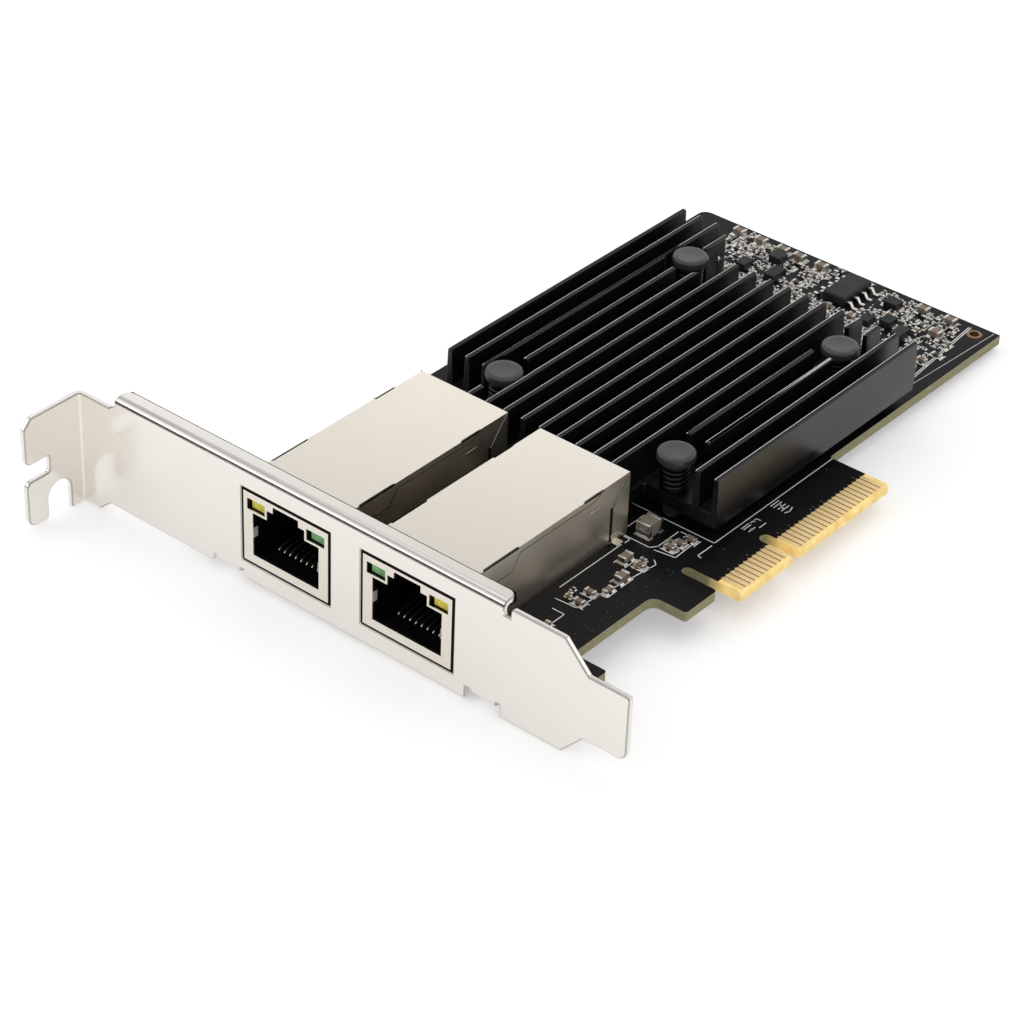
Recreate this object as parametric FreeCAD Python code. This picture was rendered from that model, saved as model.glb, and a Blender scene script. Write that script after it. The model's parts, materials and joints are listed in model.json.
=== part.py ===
import FreeCAD, Part
import math
import os

os.makedirs("parts", exist_ok=True)

Vector = FreeCAD.Vector

# Two-port network card with a folded bracket and a finned cooler.
# Millimetres. The origin is the middle of the key notch at the outer edge of the
# card-edge connector, half way through the board. +X points into the host socket,
# +Y runs to the far end of the card and +Z stands on the component side.

# Board
board_thickness = 1.57
board_height = 66.9
front_reach = 47.5
rear_reach = 67.8
board_corner_radius = 1.5
edge_setback = 10.4
gap_setback = 8.7
connector_front = 12.6
connector_rear = 22.6
key_width = 1.9
key_depth = 6.2
bevel_length = 0.6
bevel_depth = 0.35
hook_setback = 3.05
hook_length = 6.9
hook_slot = 1.7
slot_setback = 9.5
foot_gap = 17.0
outline_radius = 1.5
small_radius = 0.5
tooling_hole = 1.6
tooling_inset_x = 3.1
tooling_inset_y = 2.45

# Gold contacts on both faces of the connector
contact_pitch = 1.0
contact_width = 0.7
contact_inner = 4.17
contact_plating = 0.05
key_to_contact = 1.5
contacts_before_key = 11
contacts_after_key = 21

# Bracket, one folded sheet
bracket_sheet = 0.86
bend_inside = 0.4
plate_gap = 0.4
bracket_width = 18.42
tab_low = -7.62
tab_face = -89.66
tab_reach = 10.54
tab_chamfer = 1.4
screw_slot_width = 4.42
screw_slot_offset = 4.54
screw_slot_rise = 5.87
prong_rise = 0.5
prong_radius = 1.6
side_notch_low = 0.45
side_notch_high = 3.3
side_notch_depth = 4.4
plate_low = -5.53
plate_high = 12.6
step_start = 2.91
step_end = 5.41
flange_start = 6.96
flange_inset = 10.03
flange_depth = 3.0
flange_high = 12.93
flange_relief = 1.2
tongue_end = 8.4
tongue_high = 8.4
tongue_width = 10.19
tongue_shoulder_high = 1.88
tongue_shoulder_low = 1.5
shoulder_high = -2.17
shoulder_low = -1.93
tongue_radius = 1.4
cutout_gap = 0.4

# Ears of the bracket under the board, with their screws
ear_width = 4.0
ear_relief = 1.0
ear_1_inset = 5.8
ear_2_x = -15.2
ear_1_low = plate_low
ear_2_low = -4.75
ear_length = 9.3
ear_run = 1.5
joggle_run = 2.6
ear_hole_inset = 2.7
ear_hole_gap = 0.05
screw_thread = 2.4
screw_hole_gap = 0.15
screw_head = 4.6
screw_head_height = 1.5
screw_tip = 0.5
screw_recess = 0.55

# Sunk network jacks
jack_1_x = -50.25
jack_pitch = 21.75
jack_width = 16.1
jack_height = 13.45
jack_depth = 36.0
jack_sink = 3.4
jack_front_gap = 0.1
notch_gap = 0.15
notch_rear_gap = 0.25
shield_sheet = 0.25
nose_width = 15.5
nose_height = 11.4
nose_rise = 0.37
lid_lip = 1.0
lid_lip_deep = 3.3
lid_lip_front = 23.6
lid_lip_slope = 1.4
lid_lip_end = 6.6
lid_lip_curl = 1.3
lid_step = 0.12
flap_length = 3.6
flap_high = 6.6
flap_slit = 0.35
slit_height = 0.22
slit_rear = 6.0
slit_length = 4.0
slit_front = 24.0
slit_front_length = 7.0
lance_drop = 2.6
lance_length = 2.3
solder_tab_width = 1.4
solder_tab_reach = 1.25
solder_tab_rise = 1.2
solder_tab_rear = 3.0

# Plug opening and light windows of a jack
plug_width = 12.0
plug_low = -0.83
plug_high = 6.02
keyway_width = 6.8
keyway_high = 7.6
latch_width = 4.54
latch_high = 8.65
plug_depth = 13.2
light_width = 3.2
light_height = 1.67
light_low = 6.44
light_outer = 7.05
light_length = 8.5
light_bevel = 0.15
fit_gap = 0.05
housing_length = 16.3
plug_wire_count = 8
plug_wire_pitch = 1.02
plug_wire_width = 0.36
plug_wire_sheet = 0.25
plug_wire_foot = 0.3
plug_wire_bend = 0.7
plug_wire_reach = 10.0
plug_wire_rise = 1.25
magnetics_gap = 0.1
jack_lead_count = 10
jack_lead_pitch = 1.27
jack_lead_width = 0.45
jack_lead_sheet = 0.2
jack_lead_high = 0.75
jack_lead_reach = 1.9

# Cooler
chip_side = 17.0
chip_height = 1.0
chip_x = -35.0
chip_behind_front = 30.4
pad_thickness = 0.745
pad_side = 16.0
base_height = 2.17
fin_top = 10.74
fin_count = 16
first_fin = -59.35
fin_pitch = 3.237
fin_tip_width = 0.78
fin_foot_width = 1.2
sink_margin = 0.6
sink_margin_right = 0.5
sink_gap = 0.4
sink_step_y = 6.2
sink_step_x = -22.8
sink_rear_inset = 24.4
sink_rear_step = 8.1
sink_left_run = 8.55
sink_chamfer_x = 3.4
sink_chamfer_y = 4.4
left_pocket_run = 8.45
left_pocket_length = 7.0
pocket_radius = 2.5

# Spring-loaded push pins that hold the cooler
pin_head = 5.6
pin_head_height = 1.6
pin_head_bevel = 0.35
pin_top = 10.9
pin_shaft = 2.3
pin_shaft_thick = 1.8
pin_hole = 3.0
barb_width = 3.9
barb_tip = 1.7
barb_length = 2.1
barb_gap = 0.1
barb_split = 0.7
barb_split_height = 3.6
spring_wire = 0.5
spring_inner_gap = 0.5
spring_turn_count = 3
spring_run_count = 8
spring_side_count = 4
spring_end_gap = 0.02

# Chips and small parts
lead_sheet = 0.2
flash_x = -34.7
flash_inset = 6.1
flash_width = 4.1
flash_length = 7.5
flash_height = 1.5
flash_standoff = 0.15
flash_bevel = 0.25
flash_lead_pitch = 1.95
flash_lead_width = 0.6
flash_lead_reach = 2.0
flash_lead_high = 0.85
flash_lead_count = 4
regulator_height = 1.1
regulator_lead_width = 0.4
regulator_lead_reach = 0.55
regulator_lead_height = 0.3
crystal_length = 3.2
crystal_width = 2.5
crystal_height = 0.8
tall_capacitor_x = -18.2
tall_capacitor_behind = 2.0
solder_cap_share = 0.22
field_pitch_x = 3.9
field_pitch_y = 3.0
field_margin = 0.9
field_shift = 0.35
field_rear_inset = 2.6
field_side_inset = 2.4
strip_pitch = 7.5
belly_pitch = 4.6
body_inset = 0.04

# Worked out from the sizes above
board_top = board_thickness / 2
board_bottom = -board_top
board_left = -board_height
board_front = -front_reach
board_rear = rear_reach
edge_x = -edge_setback
gap_x = -gap_setback
slot_x = -slot_setback
hook_x = -hook_setback
hook_rear = -connector_front - hook_slot
hook_front = hook_rear - hook_length
foot_rear = hook_front - foot_gap
plate_back = board_front - plate_gap
plate_front = plate_back - bracket_sheet
plate_middle = plate_back - bracket_sheet / 2
bend_middle = bend_inside + bracket_sheet / 2
tab_high = tab_low + bracket_width
tab_end = plate_front - tab_reach
flange_x = tab_face + flange_start
flange_end = shoulder_high - flange_inset
flange_length = flange_end - flange_x
jack_2_x = jack_1_x + jack_pitch
jack_centres = (jack_1_x, jack_2_x)
jack_low = board_top - jack_sink
jack_high = jack_low + jack_height
jack_front = plate_back + jack_front_gap
jack_rear = jack_front + jack_depth
nose_low = jack_low + nose_rise
nose_high = nose_low + nose_height
wall_half = jack_width / 2 - lid_step
notch_half = jack_width / 2 + notch_gap
notch_rear = jack_rear + notch_rear_gap
housing_rear = jack_front + housing_length
chip_top = board_top + chip_height
sink_low = chip_top + pad_thickness
base_top = sink_low + base_height
sink_left = first_fin - sink_margin
last_fin = first_fin + fin_pitch * (fin_count - 1)
sink_right = last_fin + sink_margin_right
sink_front = jack_rear + sink_gap
sink_front_right = sink_front + sink_step_y
sink_rear = board_rear - sink_rear_inset
sink_rear_left = sink_rear + sink_rear_step
chip_y = sink_front + chip_behind_front
flash_y = board_rear - flash_inset
tall_capacitor_y = jack_rear + tall_capacitor_behind
pin_head_low = pin_top - pin_head_height

ear_1_x = board_left + ear_1_inset

# Each pin: its centre, then how far its pocket reaches left, right, forward and back
pins = (
    (-49.85, sink_front + 7.8, 2.95, 3.1, 5.0, 4.65),
    (-49.85, sink_rear - 2.9, 2.95, 4.1, 4.3, 3.3),
    (-19.0, sink_front + 8.0, 4.3, 4.2, 9.0, 4.8),
    (-18.3, sink_rear - 8.5, 4.7, 3.9, 3.7, 4.9),
)

ears = (
    (ear_1_x, ear_1_low),
    (ear_2_x, ear_2_low),
)


def on_xy(z):
    return lambda u, v: Vector(u, v, z)


def on_xz(y):
    return lambda u, v: Vector(u, y, v)


def on_yz(x):
    return lambda u, v: Vector(x, u, v)


def unit(a, b):
    length = math.hypot(b[0] - a[0], b[1] - a[1])
    return ((b[0] - a[0]) / length, (b[1] - a[1]) / length)


def rounded_wire(corners, place):
    """Closed wire through corners (u, v) or (u, v, radius), with tangent arcs."""
    arcs = []
    count = len(corners)
    for index in range(count):
        before = corners[index - 1]
        here = corners[index]
        after = corners[(index + 1) % count]
        radius = here[2] if len(here) > 2 else 0.0
        point = (here[0], here[1])
        if radius <= 0:
            arcs.append((point, None, point))
            continue
        back = unit(here, before)
        ahead = unit(here, after)
        cosine = back[0] * ahead[0] + back[1] * ahead[1]
        half = math.acos(max(-1.0, min(1.0, cosine))) / 2
        run = radius / math.tan(half)
        start = (here[0] + back[0] * run, here[1] + back[1] * run)
        end = (here[0] + ahead[0] * run, here[1] + ahead[1] * run)
        middle = unit((0, 0), (back[0] + ahead[0], back[1] + ahead[1]))
        reach = radius / math.sin(half) - radius
        crown = (here[0] + middle[0] * reach, here[1] + middle[1] * reach)
        arcs.append((start, crown, end))
    edges = []
    for index in range(count):
        start, crown, end = arcs[index]
        if crown:
            edges.append(Part.Arc(place(*start), place(*crown), place(*end)).toShape())
        following = arcs[(index + 1) % count][0]
        if math.hypot(following[0] - end[0], following[1] - end[1]) > 1e-6:
            edges.append(Part.LineSegment(place(*end), place(*following)).toShape())
    return Part.Wire(edges)


def prism(corners, place, direction):
    """Solid with an outline drawn on one plane, pushed along a direction."""
    return Part.Face(rounded_wire(corners, place)).extrude(Vector(*direction))


def block(x_range, y_range, z_range):
    low = Vector(x_range[0], y_range[0], z_range[0])
    return Part.makeBox(
        x_range[1] - x_range[0], y_range[1] - y_range[0], z_range[1] - z_range[0], low
    )


def strip_outline(path, thickness):
    """Outline of a sheet of even thickness that follows a path of (u, v, bend radius)."""
    left = []
    right = []
    last = len(path) - 1
    half = thickness / 2
    for index, point in enumerate(path):
        ahead = unit(path[index], path[index + 1]) if index < last else None
        behind = unit(path[index - 1], path[index]) if index > 0 else ahead
        ahead = ahead or behind
        normal_in = (-behind[1], behind[0])
        normal_out = (-ahead[1], ahead[0])
        middle = unit((0, 0), (normal_in[0] + normal_out[0], normal_in[1] + normal_out[1]))
        reach = half / (middle[0] * normal_in[0] + middle[1] * normal_in[1])
        turn = behind[0] * ahead[1] - behind[1] * ahead[0]
        bend = point[2] if len(point) > 2 else 0.0
        inner = max(bend - half, 0.0)
        outer = bend + half if bend else 0.0
        left_radius, right_radius = (inner, outer) if turn > 0 else (outer, inner)
        left.append((point[0] + middle[0] * reach, point[1] + middle[1] * reach, left_radius))
        right.append((point[0] - middle[0] * reach, point[1] - middle[1] * reach, right_radius))
    return left + right[::-1]


def bent_strip(path, thickness, place, direction):
    return prism(strip_outline(path, thickness), place, direction)


def rectangle(x_range, y_range, radius=0.0):
    return [
        (x_range[0], y_range[0], radius),
        (x_range[1], y_range[0], radius),
        (x_range[1], y_range[1], radius),
        (x_range[0], y_range[1], radius),
    ]


def hole(x, y, diameter):
    """Round cutter that runs right through the card, from below the bracket to above it."""
    low = tab_low - bracket_width
    return Part.makeCylinder(diameter / 2, 3 * bracket_width, Vector(x, y, low))


def save(name, shape):
    shape.exportStep("parts/" + name + ".step")
    print(name, "solids", len(shape.Solids), "volume", round(shape.Volume, 2))


def ear_screw_y():
    return plate_middle + ear_length - ear_hole_inset


def make_board():
    corners = [(board_left, board_front)]
    for centre in jack_centres:
        corners.append((centre - notch_half, board_front))
        corners.append((centre - notch_half, notch_rear))
        corners.append((centre + notch_half, notch_rear))
        corners.append((centre + notch_half, board_front))
    corners += [
        (hook_x, board_front),
        (hook_x, foot_rear, small_radius),
        (gap_x, foot_rear, outline_radius),
        (gap_x, hook_front, outline_radius),
        (hook_x, hook_front, small_radius),
        (hook_x, hook_rear, small_radius),
        (slot_x, hook_rear, hook_slot / 2),
        (slot_x, -connector_front, hook_slot / 2),
        (0, -connector_front, small_radius),
        (0, -key_width / 2),
        (-key_depth, -key_width / 2, key_width / 2),
        (-key_depth, key_width / 2, key_width / 2),
        (0, key_width / 2),
        (0, connector_rear, small_radius),
        (edge_x, connector_rear, small_radius),
        (edge_x, board_rear),
        (board_left, board_rear, board_corner_radius),
    ]
    board = prism(corners, on_xy(board_bottom), (0, 0, board_thickness))
    cuts = []
    for pin in pins:
        cuts.append(hole(pin[0], pin[1], pin_hole))
    for ear_x, _ in ears:
        cuts.append(hole(ear_x, ear_screw_y(), screw_thread + 2 * screw_hole_gap))
    cuts.append(hole(edge_x - tooling_inset_x, board_rear - tooling_inset_y, tooling_hole))
    for side in (1, -1):
        wedge = [
            (-bevel_length, side * board_top),
            (bevel_length, side * (board_top - 2 * bevel_depth)),
            (bevel_length, side * (board_top + bevel_depth)),
            (-bevel_length, side * (board_top + bevel_depth)),
        ]
        span = connector_front + connector_rear + 2 * hook_slot
        cuts.append(prism(wedge, on_xz(-connector_front - hook_slot / 2), (0, span, 0)))
    return board.cut(cuts)


def make_contacts(low, high):
    pads = []
    places = [-key_to_contact - contact_pitch * index for index in range(contacts_before_key)]
    places += [key_to_contact + contact_pitch * index for index in range(contacts_after_key)]
    for y in places:
        span = (y - contact_width / 2, y + contact_width / 2)
        pads.append(block((-contact_inner, -bevel_length), span, (low, high)))
    return Part.makeCompound(pads)


def make_ear(ear_x, low):
    """Ear that folds back from the plate's lower edge and steps up to the board."""
    low_middle = low + bracket_sheet / 2
    high_middle = board_bottom - bracket_sheet / 2
    top = low_middle + bend_middle + bend_inside
    path = [
        (plate_middle, top),
        (plate_middle, low_middle, bend_middle),
        (plate_middle + bend_middle + ear_run, low_middle),
        (plate_middle + bend_middle + ear_run + joggle_run, high_middle),
        (plate_middle + ear_length, high_middle),
    ]
    ear = bent_strip(path, bracket_sheet, on_yz(ear_x - ear_width / 2), (ear_width, 0, 0))
    return ear.cut(hole(ear_x, ear_screw_y(), screw_thread + 2 * ear_hole_gap))


def make_bracket():
    bend_path = [
        (tab_face - bracket_sheet / 2, tab_end - 1),
        (tab_face - bracket_sheet / 2, plate_middle, bend_middle),
        (tongue_end + 1, plate_middle),
    ]
    tallest = flange_high - tab_low
    sheet = bent_strip(bend_path, bracket_sheet, on_xy(tab_low), (0, 0, tallest))
    flange_root = flange_high - bracket_sheet / 2 - bend_middle
    tongue_low = tongue_high - tongue_width
    front = [
        (tab_face - 2, tab_low),
        (tab_face + step_start, tab_low, small_radius),
        (tab_face + step_end, plate_low, small_radius),
    ]
    for ear_x, low in ears:
        relief = ear_width / 2 + ear_relief
        relief_top = low + bracket_sheet / 2 + bend_middle
        front.append((ear_x - relief, plate_low))
        front.append((ear_x - relief, relief_top))
        front.append((ear_x + relief, relief_top))
        front.append((ear_x + relief, plate_low))
    front += [
        (shoulder_low, plate_low, small_radius),
        (tongue_shoulder_low, tongue_low, small_radius),
        (tongue_end, tongue_low, tongue_radius),
        (tongue_end, tongue_high, small_radius),
        (tongue_shoulder_high, tongue_high, small_radius),
        (shoulder_high, plate_high, small_radius),
        (flange_end + flange_relief, plate_high, small_radius),
        (flange_end + flange_relief, flange_root - flange_relief / 2),
        (flange_end, flange_root - flange_relief / 2),
        (flange_end, flange_root),
        (flange_x, flange_root),
        (flange_x - flange_relief, tab_high, small_radius),
        (tab_face - 2, tab_high),
    ]
    front_mask = prism(front, on_xz(plate_front - bend_middle), (0, 3 * bracket_sheet, 0))
    slot_middle = plate_front - screw_slot_offset
    slot_half = screw_slot_width / 2
    slot_top = tab_low + screw_slot_rise
    notch_bottom = tab_end + side_notch_depth
    side = [
        (plate_back, tab_low),
        (slot_middle + slot_half, tab_low, small_radius),
        (slot_middle + slot_half, slot_top, slot_half),
        (slot_middle - slot_half, slot_top, slot_half),
        (slot_middle - slot_half, tab_low + prong_rise, small_radius),
        (tab_end, tab_low + prong_rise, prong_radius),
        (tab_end, side_notch_low, 2 * small_radius),
        (notch_bottom, side_notch_low, small_radius),
        (notch_bottom, side_notch_high, small_radius),
        (tab_end, side_notch_high, 2 * small_radius),
        (tab_end, tab_high - tab_chamfer, small_radius),
        (tab_end + tab_chamfer, tab_high, small_radius),
        (plate_back, tab_high),
    ]
    side_mask = prism(side, on_yz(tab_face - bracket_sheet - 1), (bracket_sheet + 1 + bend_inside, 0, 0))
    bracket = sheet.common(front_mask.fuse(side_mask))
    flange_path = [
        (plate_middle, flange_root - bend_inside),
        (plate_middle, flange_high - bracket_sheet / 2, bend_middle),
        (plate_front + flange_depth, flange_high - bracket_sheet / 2),
    ]
    flange = bent_strip(flange_path, bracket_sheet, on_yz(flange_x), (flange_length, 0, 0))
    flange_plan = [
        (flange_x, plate_front - 1),
        (flange_end, plate_front - 1),
        (flange_end, plate_front + flange_depth, tab_chamfer),
        (flange_x, plate_front + flange_depth, tab_chamfer),
    ]
    flange = flange.common(prism(flange_plan, on_xy(tab_low), (0, 0, tallest + 1)))
    pieces = [flange]
    for ear_x, low in ears:
        pieces.append(make_ear(ear_x, low))
    bracket = bracket.fuse(pieces).removeSplitter()
    windows = []
    for centre in jack_centres:
        half = nose_width / 2 + cutout_gap
        outline = rectangle(
            (centre - half, centre + half), (nose_low - cutout_gap, nose_high + cutout_gap)
        )
        windows.append(prism(outline, on_xz(plate_front - 1), (0, bracket_sheet + 2, 0)))
    return bracket.cut(windows)


def make_screw(x, y):
    """Flat-topped screw with a cross recess, down through the board and its ear."""
    tip = board_bottom - bracket_sheet - screw_tip
    half = screw_head / 2
    profile = [
        (0, tip),
        (screw_thread / 2, tip),
        (screw_thread / 2, board_top),
        (half, board_top),
        (half, board_top + screw_head_height),
        (0, board_top + screw_head_height),
    ]
    face = Part.Face(rounded_wire(profile, lambda u, v: Vector(x + u, y, v)))
    screw = face.revolve(Vector(x, y, 0), Vector(0, 0, 1), 360)
    long_half = screw_head * 0.3
    short_half = screw_recess / 2
    depth = (board_top + screw_head_height * 0.45, board_top + screw_head_height + 1)
    arm = block((x - long_half, x + long_half), (y - short_half, y + short_half), depth)
    other = block((x - short_half, x + short_half), (y - long_half, y + long_half), depth)
    return screw.cut([arm, other])


def plug_corners(centre, grow=0.0):
    """Stepped outline of the plug opening, wide below and keyed for the latch above."""
    wide = plug_width / 2 + grow
    key = keyway_width / 2 + grow
    latch = latch_width / 2 + grow
    return [
        (centre - wide, plug_low - grow),
        (centre + wide, plug_low - grow),
        (centre + wide, plug_high + grow),
        (centre + key, plug_high + grow),
        (centre + key, keyway_high + grow),
        (centre + latch, keyway_high + grow),
        (centre + latch, latch_high + grow),
        (centre - latch, latch_high + grow),
        (centre - latch, keyway_high + grow),
        (centre - key, keyway_high + grow),
        (centre - key, plug_high + grow),
        (centre - wide, plug_high + grow),
    ]


def light_span(centre, side):
    inner = centre + side * (light_outer - light_width)
    outer = centre + side * light_outer
    return (min(inner, outer), max(inner, outer))


def wire_places(centre, count, pitch):
    return [centre + pitch * (index - (count - 1) / 2) for index in range(count)]


def make_jack_shell(centre):
    """Folded shield: lid with stepped lips turned down its sides, walls, rear cover and face."""
    lid_half = jack_width / 2
    lid_low = jack_high - lid_lip
    lip_front = jack_rear - lid_lip_front
    lip_rear = jack_rear - lid_lip_end
    lip = [
        (jack_front, jack_high),
        (jack_front, jack_high - lid_lip_deep),
        (lip_front - lid_lip_slope, jack_high - lid_lip_deep),
        (lip_front, lid_low),
        (lip_rear - lid_lip_curl, lid_low),
        (lip_rear, lid_low + lid_lip / 2),
        (lip_rear, jack_high),
    ]
    walls = block((centre - wall_half, centre + wall_half), (jack_front, jack_rear), (jack_low, jack_high))
    nose_half = nose_width / 2
    nose = block((centre - nose_half, centre + nose_half), (plate_front, jack_front), (nose_low, nose_high))
    flap_front = jack_rear - flap_length
    flap = [
        (flap_front, jack_low),
        (jack_rear, jack_low),
        (jack_rear, jack_high),
        (flap_front, flap_high),
    ]
    folds = []
    for side in (1, -1):
        start = centre + side * wall_half
        folds.append(prism(flap, on_yz(start), (side * lid_step, 0, 0)))
        folds.append(prism(lip, on_yz(start), (side * lid_step, 0, 0)))
    shell = walls.fuse([nose] + folds)
    inside_half = wall_half - shield_sheet
    hollow = block(
        (centre - inside_half, centre + inside_half),
        (jack_front + shield_sheet, jack_rear - shield_sheet),
        (jack_low + shield_sheet, jack_high - shield_sheet),
    )
    nose_inside = nose_half - shield_sheet
    nose_hollow = block(
        (centre - nose_inside, centre + nose_inside),
        (plate_front + shield_sheet, jack_front + 2 * shield_sheet),
        (nose_low + shield_sheet, nose_high - shield_sheet),
    )
    cuts = [hollow, nose_hollow]
    cuts.append(prism(plug_corners(centre, fit_gap), on_xz(plate_front - 1), (0, 2, 0)))
    for side in (1, -1):
        left, right = light_span(centre, side)
        window_z = (light_low - fit_gap, light_low + light_height + fit_gap)
        cuts.append(block((left - fit_gap, right + fit_gap), (plate_front - 1, plate_front + 1), window_z))
        wall = centre + side * wall_half
        through = (wall - 2 * shield_sheet, wall + 2 * shield_sheet)
        cuts.append(block(through, (flap_front - flap_slit, flap_front), (board_top, flap_high)))
        lance_y = (lip_rear - lid_lip_curl - lance_length / 2, lip_rear - lid_lip_curl + lance_length / 2)
        lance_z = jack_high - lance_drop
        cuts.append(block(through, lance_y, (lance_z, lance_z + slit_height)))
        edge = centre + side * lid_half
        for start, length in ((slit_rear, slit_length), (slit_front, slit_front_length)):
            slit_y = (jack_rear - start - length, jack_rear - start)
            slit_z = (jack_high - slit_height, jack_high + slit_height)
            cuts.append(block((edge - shield_sheet, edge + shield_sheet), slit_y, slit_z))
    lead_half = jack_lead_count * jack_lead_pitch / 2
    lead_z = board_top + jack_lead_high
    cuts.append(
        block(
            (centre - lead_half, centre + lead_half),
            (jack_rear - 2 * shield_sheet, jack_rear + shield_sheet),
            (lead_z - jack_lead_sheet * 1.5, lead_z + jack_lead_sheet * 1.5),
        )
    )
    belly = wall_half - 4 * shield_sheet
    cuts.append(
        block(
            (centre - belly, centre + belly),
            (housing_rear + 2, jack_rear - 2),
            (jack_low - 1, jack_low + 2 * shield_sheet),
        )
    )
    shell = shell.cut(cuts)
    tabs = []
    for side in (1, -1):
        middle = jack_rear - solder_tab_rear
        start = centre + side * (wall_half - shield_sheet / 2)
        path = [
            (start, board_top + solder_tab_rise),
            (start + side * shield_sheet * 0.75, board_top + solder_tab_rise),
            (start + side * shield_sheet * 1.5, board_top + shield_sheet / 2),
            (centre + side * (wall_half + solder_tab_reach), board_top + shield_sheet / 2),
        ]
        tabs.append(bent_strip(path, shield_sheet, on_xz(middle - solder_tab_width / 2), (0, solder_tab_width, 0)))
    return shell.fuse(tabs).removeSplitter()


def make_jack_housing(centre):
    """Plastic insert with the plug cavity, the light pockets and the wire grooves."""
    nose_half = nose_width / 2 - shield_sheet - fit_gap
    nose = block(
        (centre - nose_half, centre + nose_half),
        (plate_front + shield_sheet + fit_gap, jack_front + 1),
        (nose_low + shield_sheet + fit_gap, nose_high - shield_sheet - fit_gap),
    )
    half = wall_half - shield_sheet - fit_gap
    body = block(
        (centre - half, centre + half),
        (jack_front + shield_sheet + fit_gap, housing_rear),
        (jack_low + shield_sheet + fit_gap, jack_high - shield_sheet - fit_gap),
    )
    cavity = prism(plug_corners(centre), on_xz(plate_front - 1), (0, plug_depth + 1, 0))
    cuts = [cavity]
    for side in (1, -1):
        left, right = light_span(centre, side)
        cuts.append(
            block(
                (left - fit_gap, right + fit_gap),
                (plate_front - 1, plate_front + light_length + fit_gap),
                (light_low - fit_gap, light_low + light_height + fit_gap),
            )
        )
    groove_half = plug_wire_width / 2 + fit_gap
    for x in wire_places(centre, plug_wire_count, plug_wire_pitch):
        cuts.append(
            block(
                (x - groove_half, x + groove_half),
                (plate_front + plug_depth - 1, housing_rear + 1),
                (plug_low, plug_low + plug_wire_foot + plug_wire_sheet + fit_gap),
            )
        )
    return nose.fuse(body).cut(cuts).removeSplitter()


def make_plug_wires(centre):
    """Spring wires that run forward along the cavity's floor and fold back up."""
    floor = plug_low + plug_wire_foot
    front = housing_rear - magnetics_gap - plug_depth - 1
    path = [
        (housing_rear, floor),
        (front, floor),
        (front - plug_wire_bend / 2, floor + plug_wire_bend / 2),
        (front, floor + plug_wire_bend),
        (front + plug_wire_reach, floor + plug_wire_bend + plug_wire_rise),
    ]
    wires = []
    for x in wire_places(centre, plug_wire_count, plug_wire_pitch):
        start = x - plug_wire_width / 2
        wires.append(bent_strip(path, plug_wire_sheet, on_yz(start), (plug_wire_width, 0, 0)))
    return Part.makeCompound(wires)


def make_magnetics(centre):
    half = wall_half - shield_sheet - magnetics_gap
    return block(
        (centre - half, centre + half),
        (housing_rear, jack_rear - shield_sheet - magnetics_gap),
        (jack_low + shield_sheet + magnetics_gap, jack_high - shield_sheet - magnetics_gap),
    )


def make_jack_leads(centre):
    """Gull-wing leads from the module to the board behind the jack."""
    start = jack_rear - shield_sheet - magnetics_gap
    foot = board_top + jack_lead_sheet / 2
    high = board_top + jack_lead_high
    knee = jack_rear + jack_lead_reach * 0.3
    path = [
        (start, high),
        (knee, high),
        (knee + jack_lead_sheet, foot),
        (jack_rear + jack_lead_reach, foot),
    ]
    leads = []
    for x in wire_places(centre, jack_lead_count, jack_lead_pitch):
        begin = x - jack_lead_width / 2
        leads.append(bent_strip(path, jack_lead_sheet, on_yz(begin), (jack_lead_width, 0, 0)))
    return Part.makeCompound(leads)


def make_light(centre, side):
    left, right = light_span(centre, side)
    light = block((left, right), (plate_front, plate_front + light_length), (light_low, light_low + light_height))
    front_edges = [edge for edge in light.Edges if edge.BoundBox.YMax < plate_front + 0.01]
    return light.makeChamfer(light_bevel, front_edges)


def make_heat_sink():
    """Extruded base and tapered fins, then milled to its outline and round the pins."""
    front = sink_front - 1
    run = sink_rear_left - front + 1
    base = prism(
        [(sink_left, sink_low), (sink_right, sink_low), (sink_right, base_top), (sink_left, base_top)],
        on_xz(front),
        (0, run, 0),
    )
    fins = []
    for index in range(fin_count):
        x = first_fin + fin_pitch * index
        root = base_top - base_height / 4
        profile = [
            (x - fin_foot_width / 2, root),
            (x + fin_foot_width / 2, root),
            (x + fin_foot_width / 2, base_top),
            (x + fin_tip_width / 2, fin_top),
            (x - fin_tip_width / 2, fin_top),
            (x - fin_foot_width / 2, base_top),
        ]
        fins.append(prism(profile, on_xz(front), (0, run, 0)))
    left_run_x = sink_left + sink_left_run
    chamfer_x = left_run_x + sink_chamfer_x
    plan = [
        (sink_left - 1, sink_front),
        (sink_step_x, sink_front),
        (sink_step_x, sink_front_right, small_radius),
        (sink_right + 1, sink_front_right),
        (sink_right + 1, sink_rear),
        (chamfer_x, sink_rear),
        (chamfer_x, sink_rear_left - sink_chamfer_y),
        (left_run_x, sink_rear_left),
        (sink_left - 1, sink_rear_left),
    ]
    sink = base.fuse(fins).common(prism(plan, on_xy(sink_low - 1), (0, 0, fin_top - sink_low + 2)))
    left_pocket_rear = sink_front + left_pocket_length
    milled = [rectangle((sink_left - 1, sink_left + left_pocket_run), (front - 1, left_pocket_rear))]
    for x, y, left, right, ahead, behind in pins:
        milled.append(rectangle((x - left, x + right), (y - ahead, y + behind), pocket_radius))
    pocket_height = fin_top - base_top + 1
    cuts = [prism(outline, on_xy(base_top), (0, 0, pocket_height)) for outline in milled]
    for pin in pins:
        cuts.append(hole(pin[0], pin[1], pin_hole))
    return sink.cut(cuts)


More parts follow.
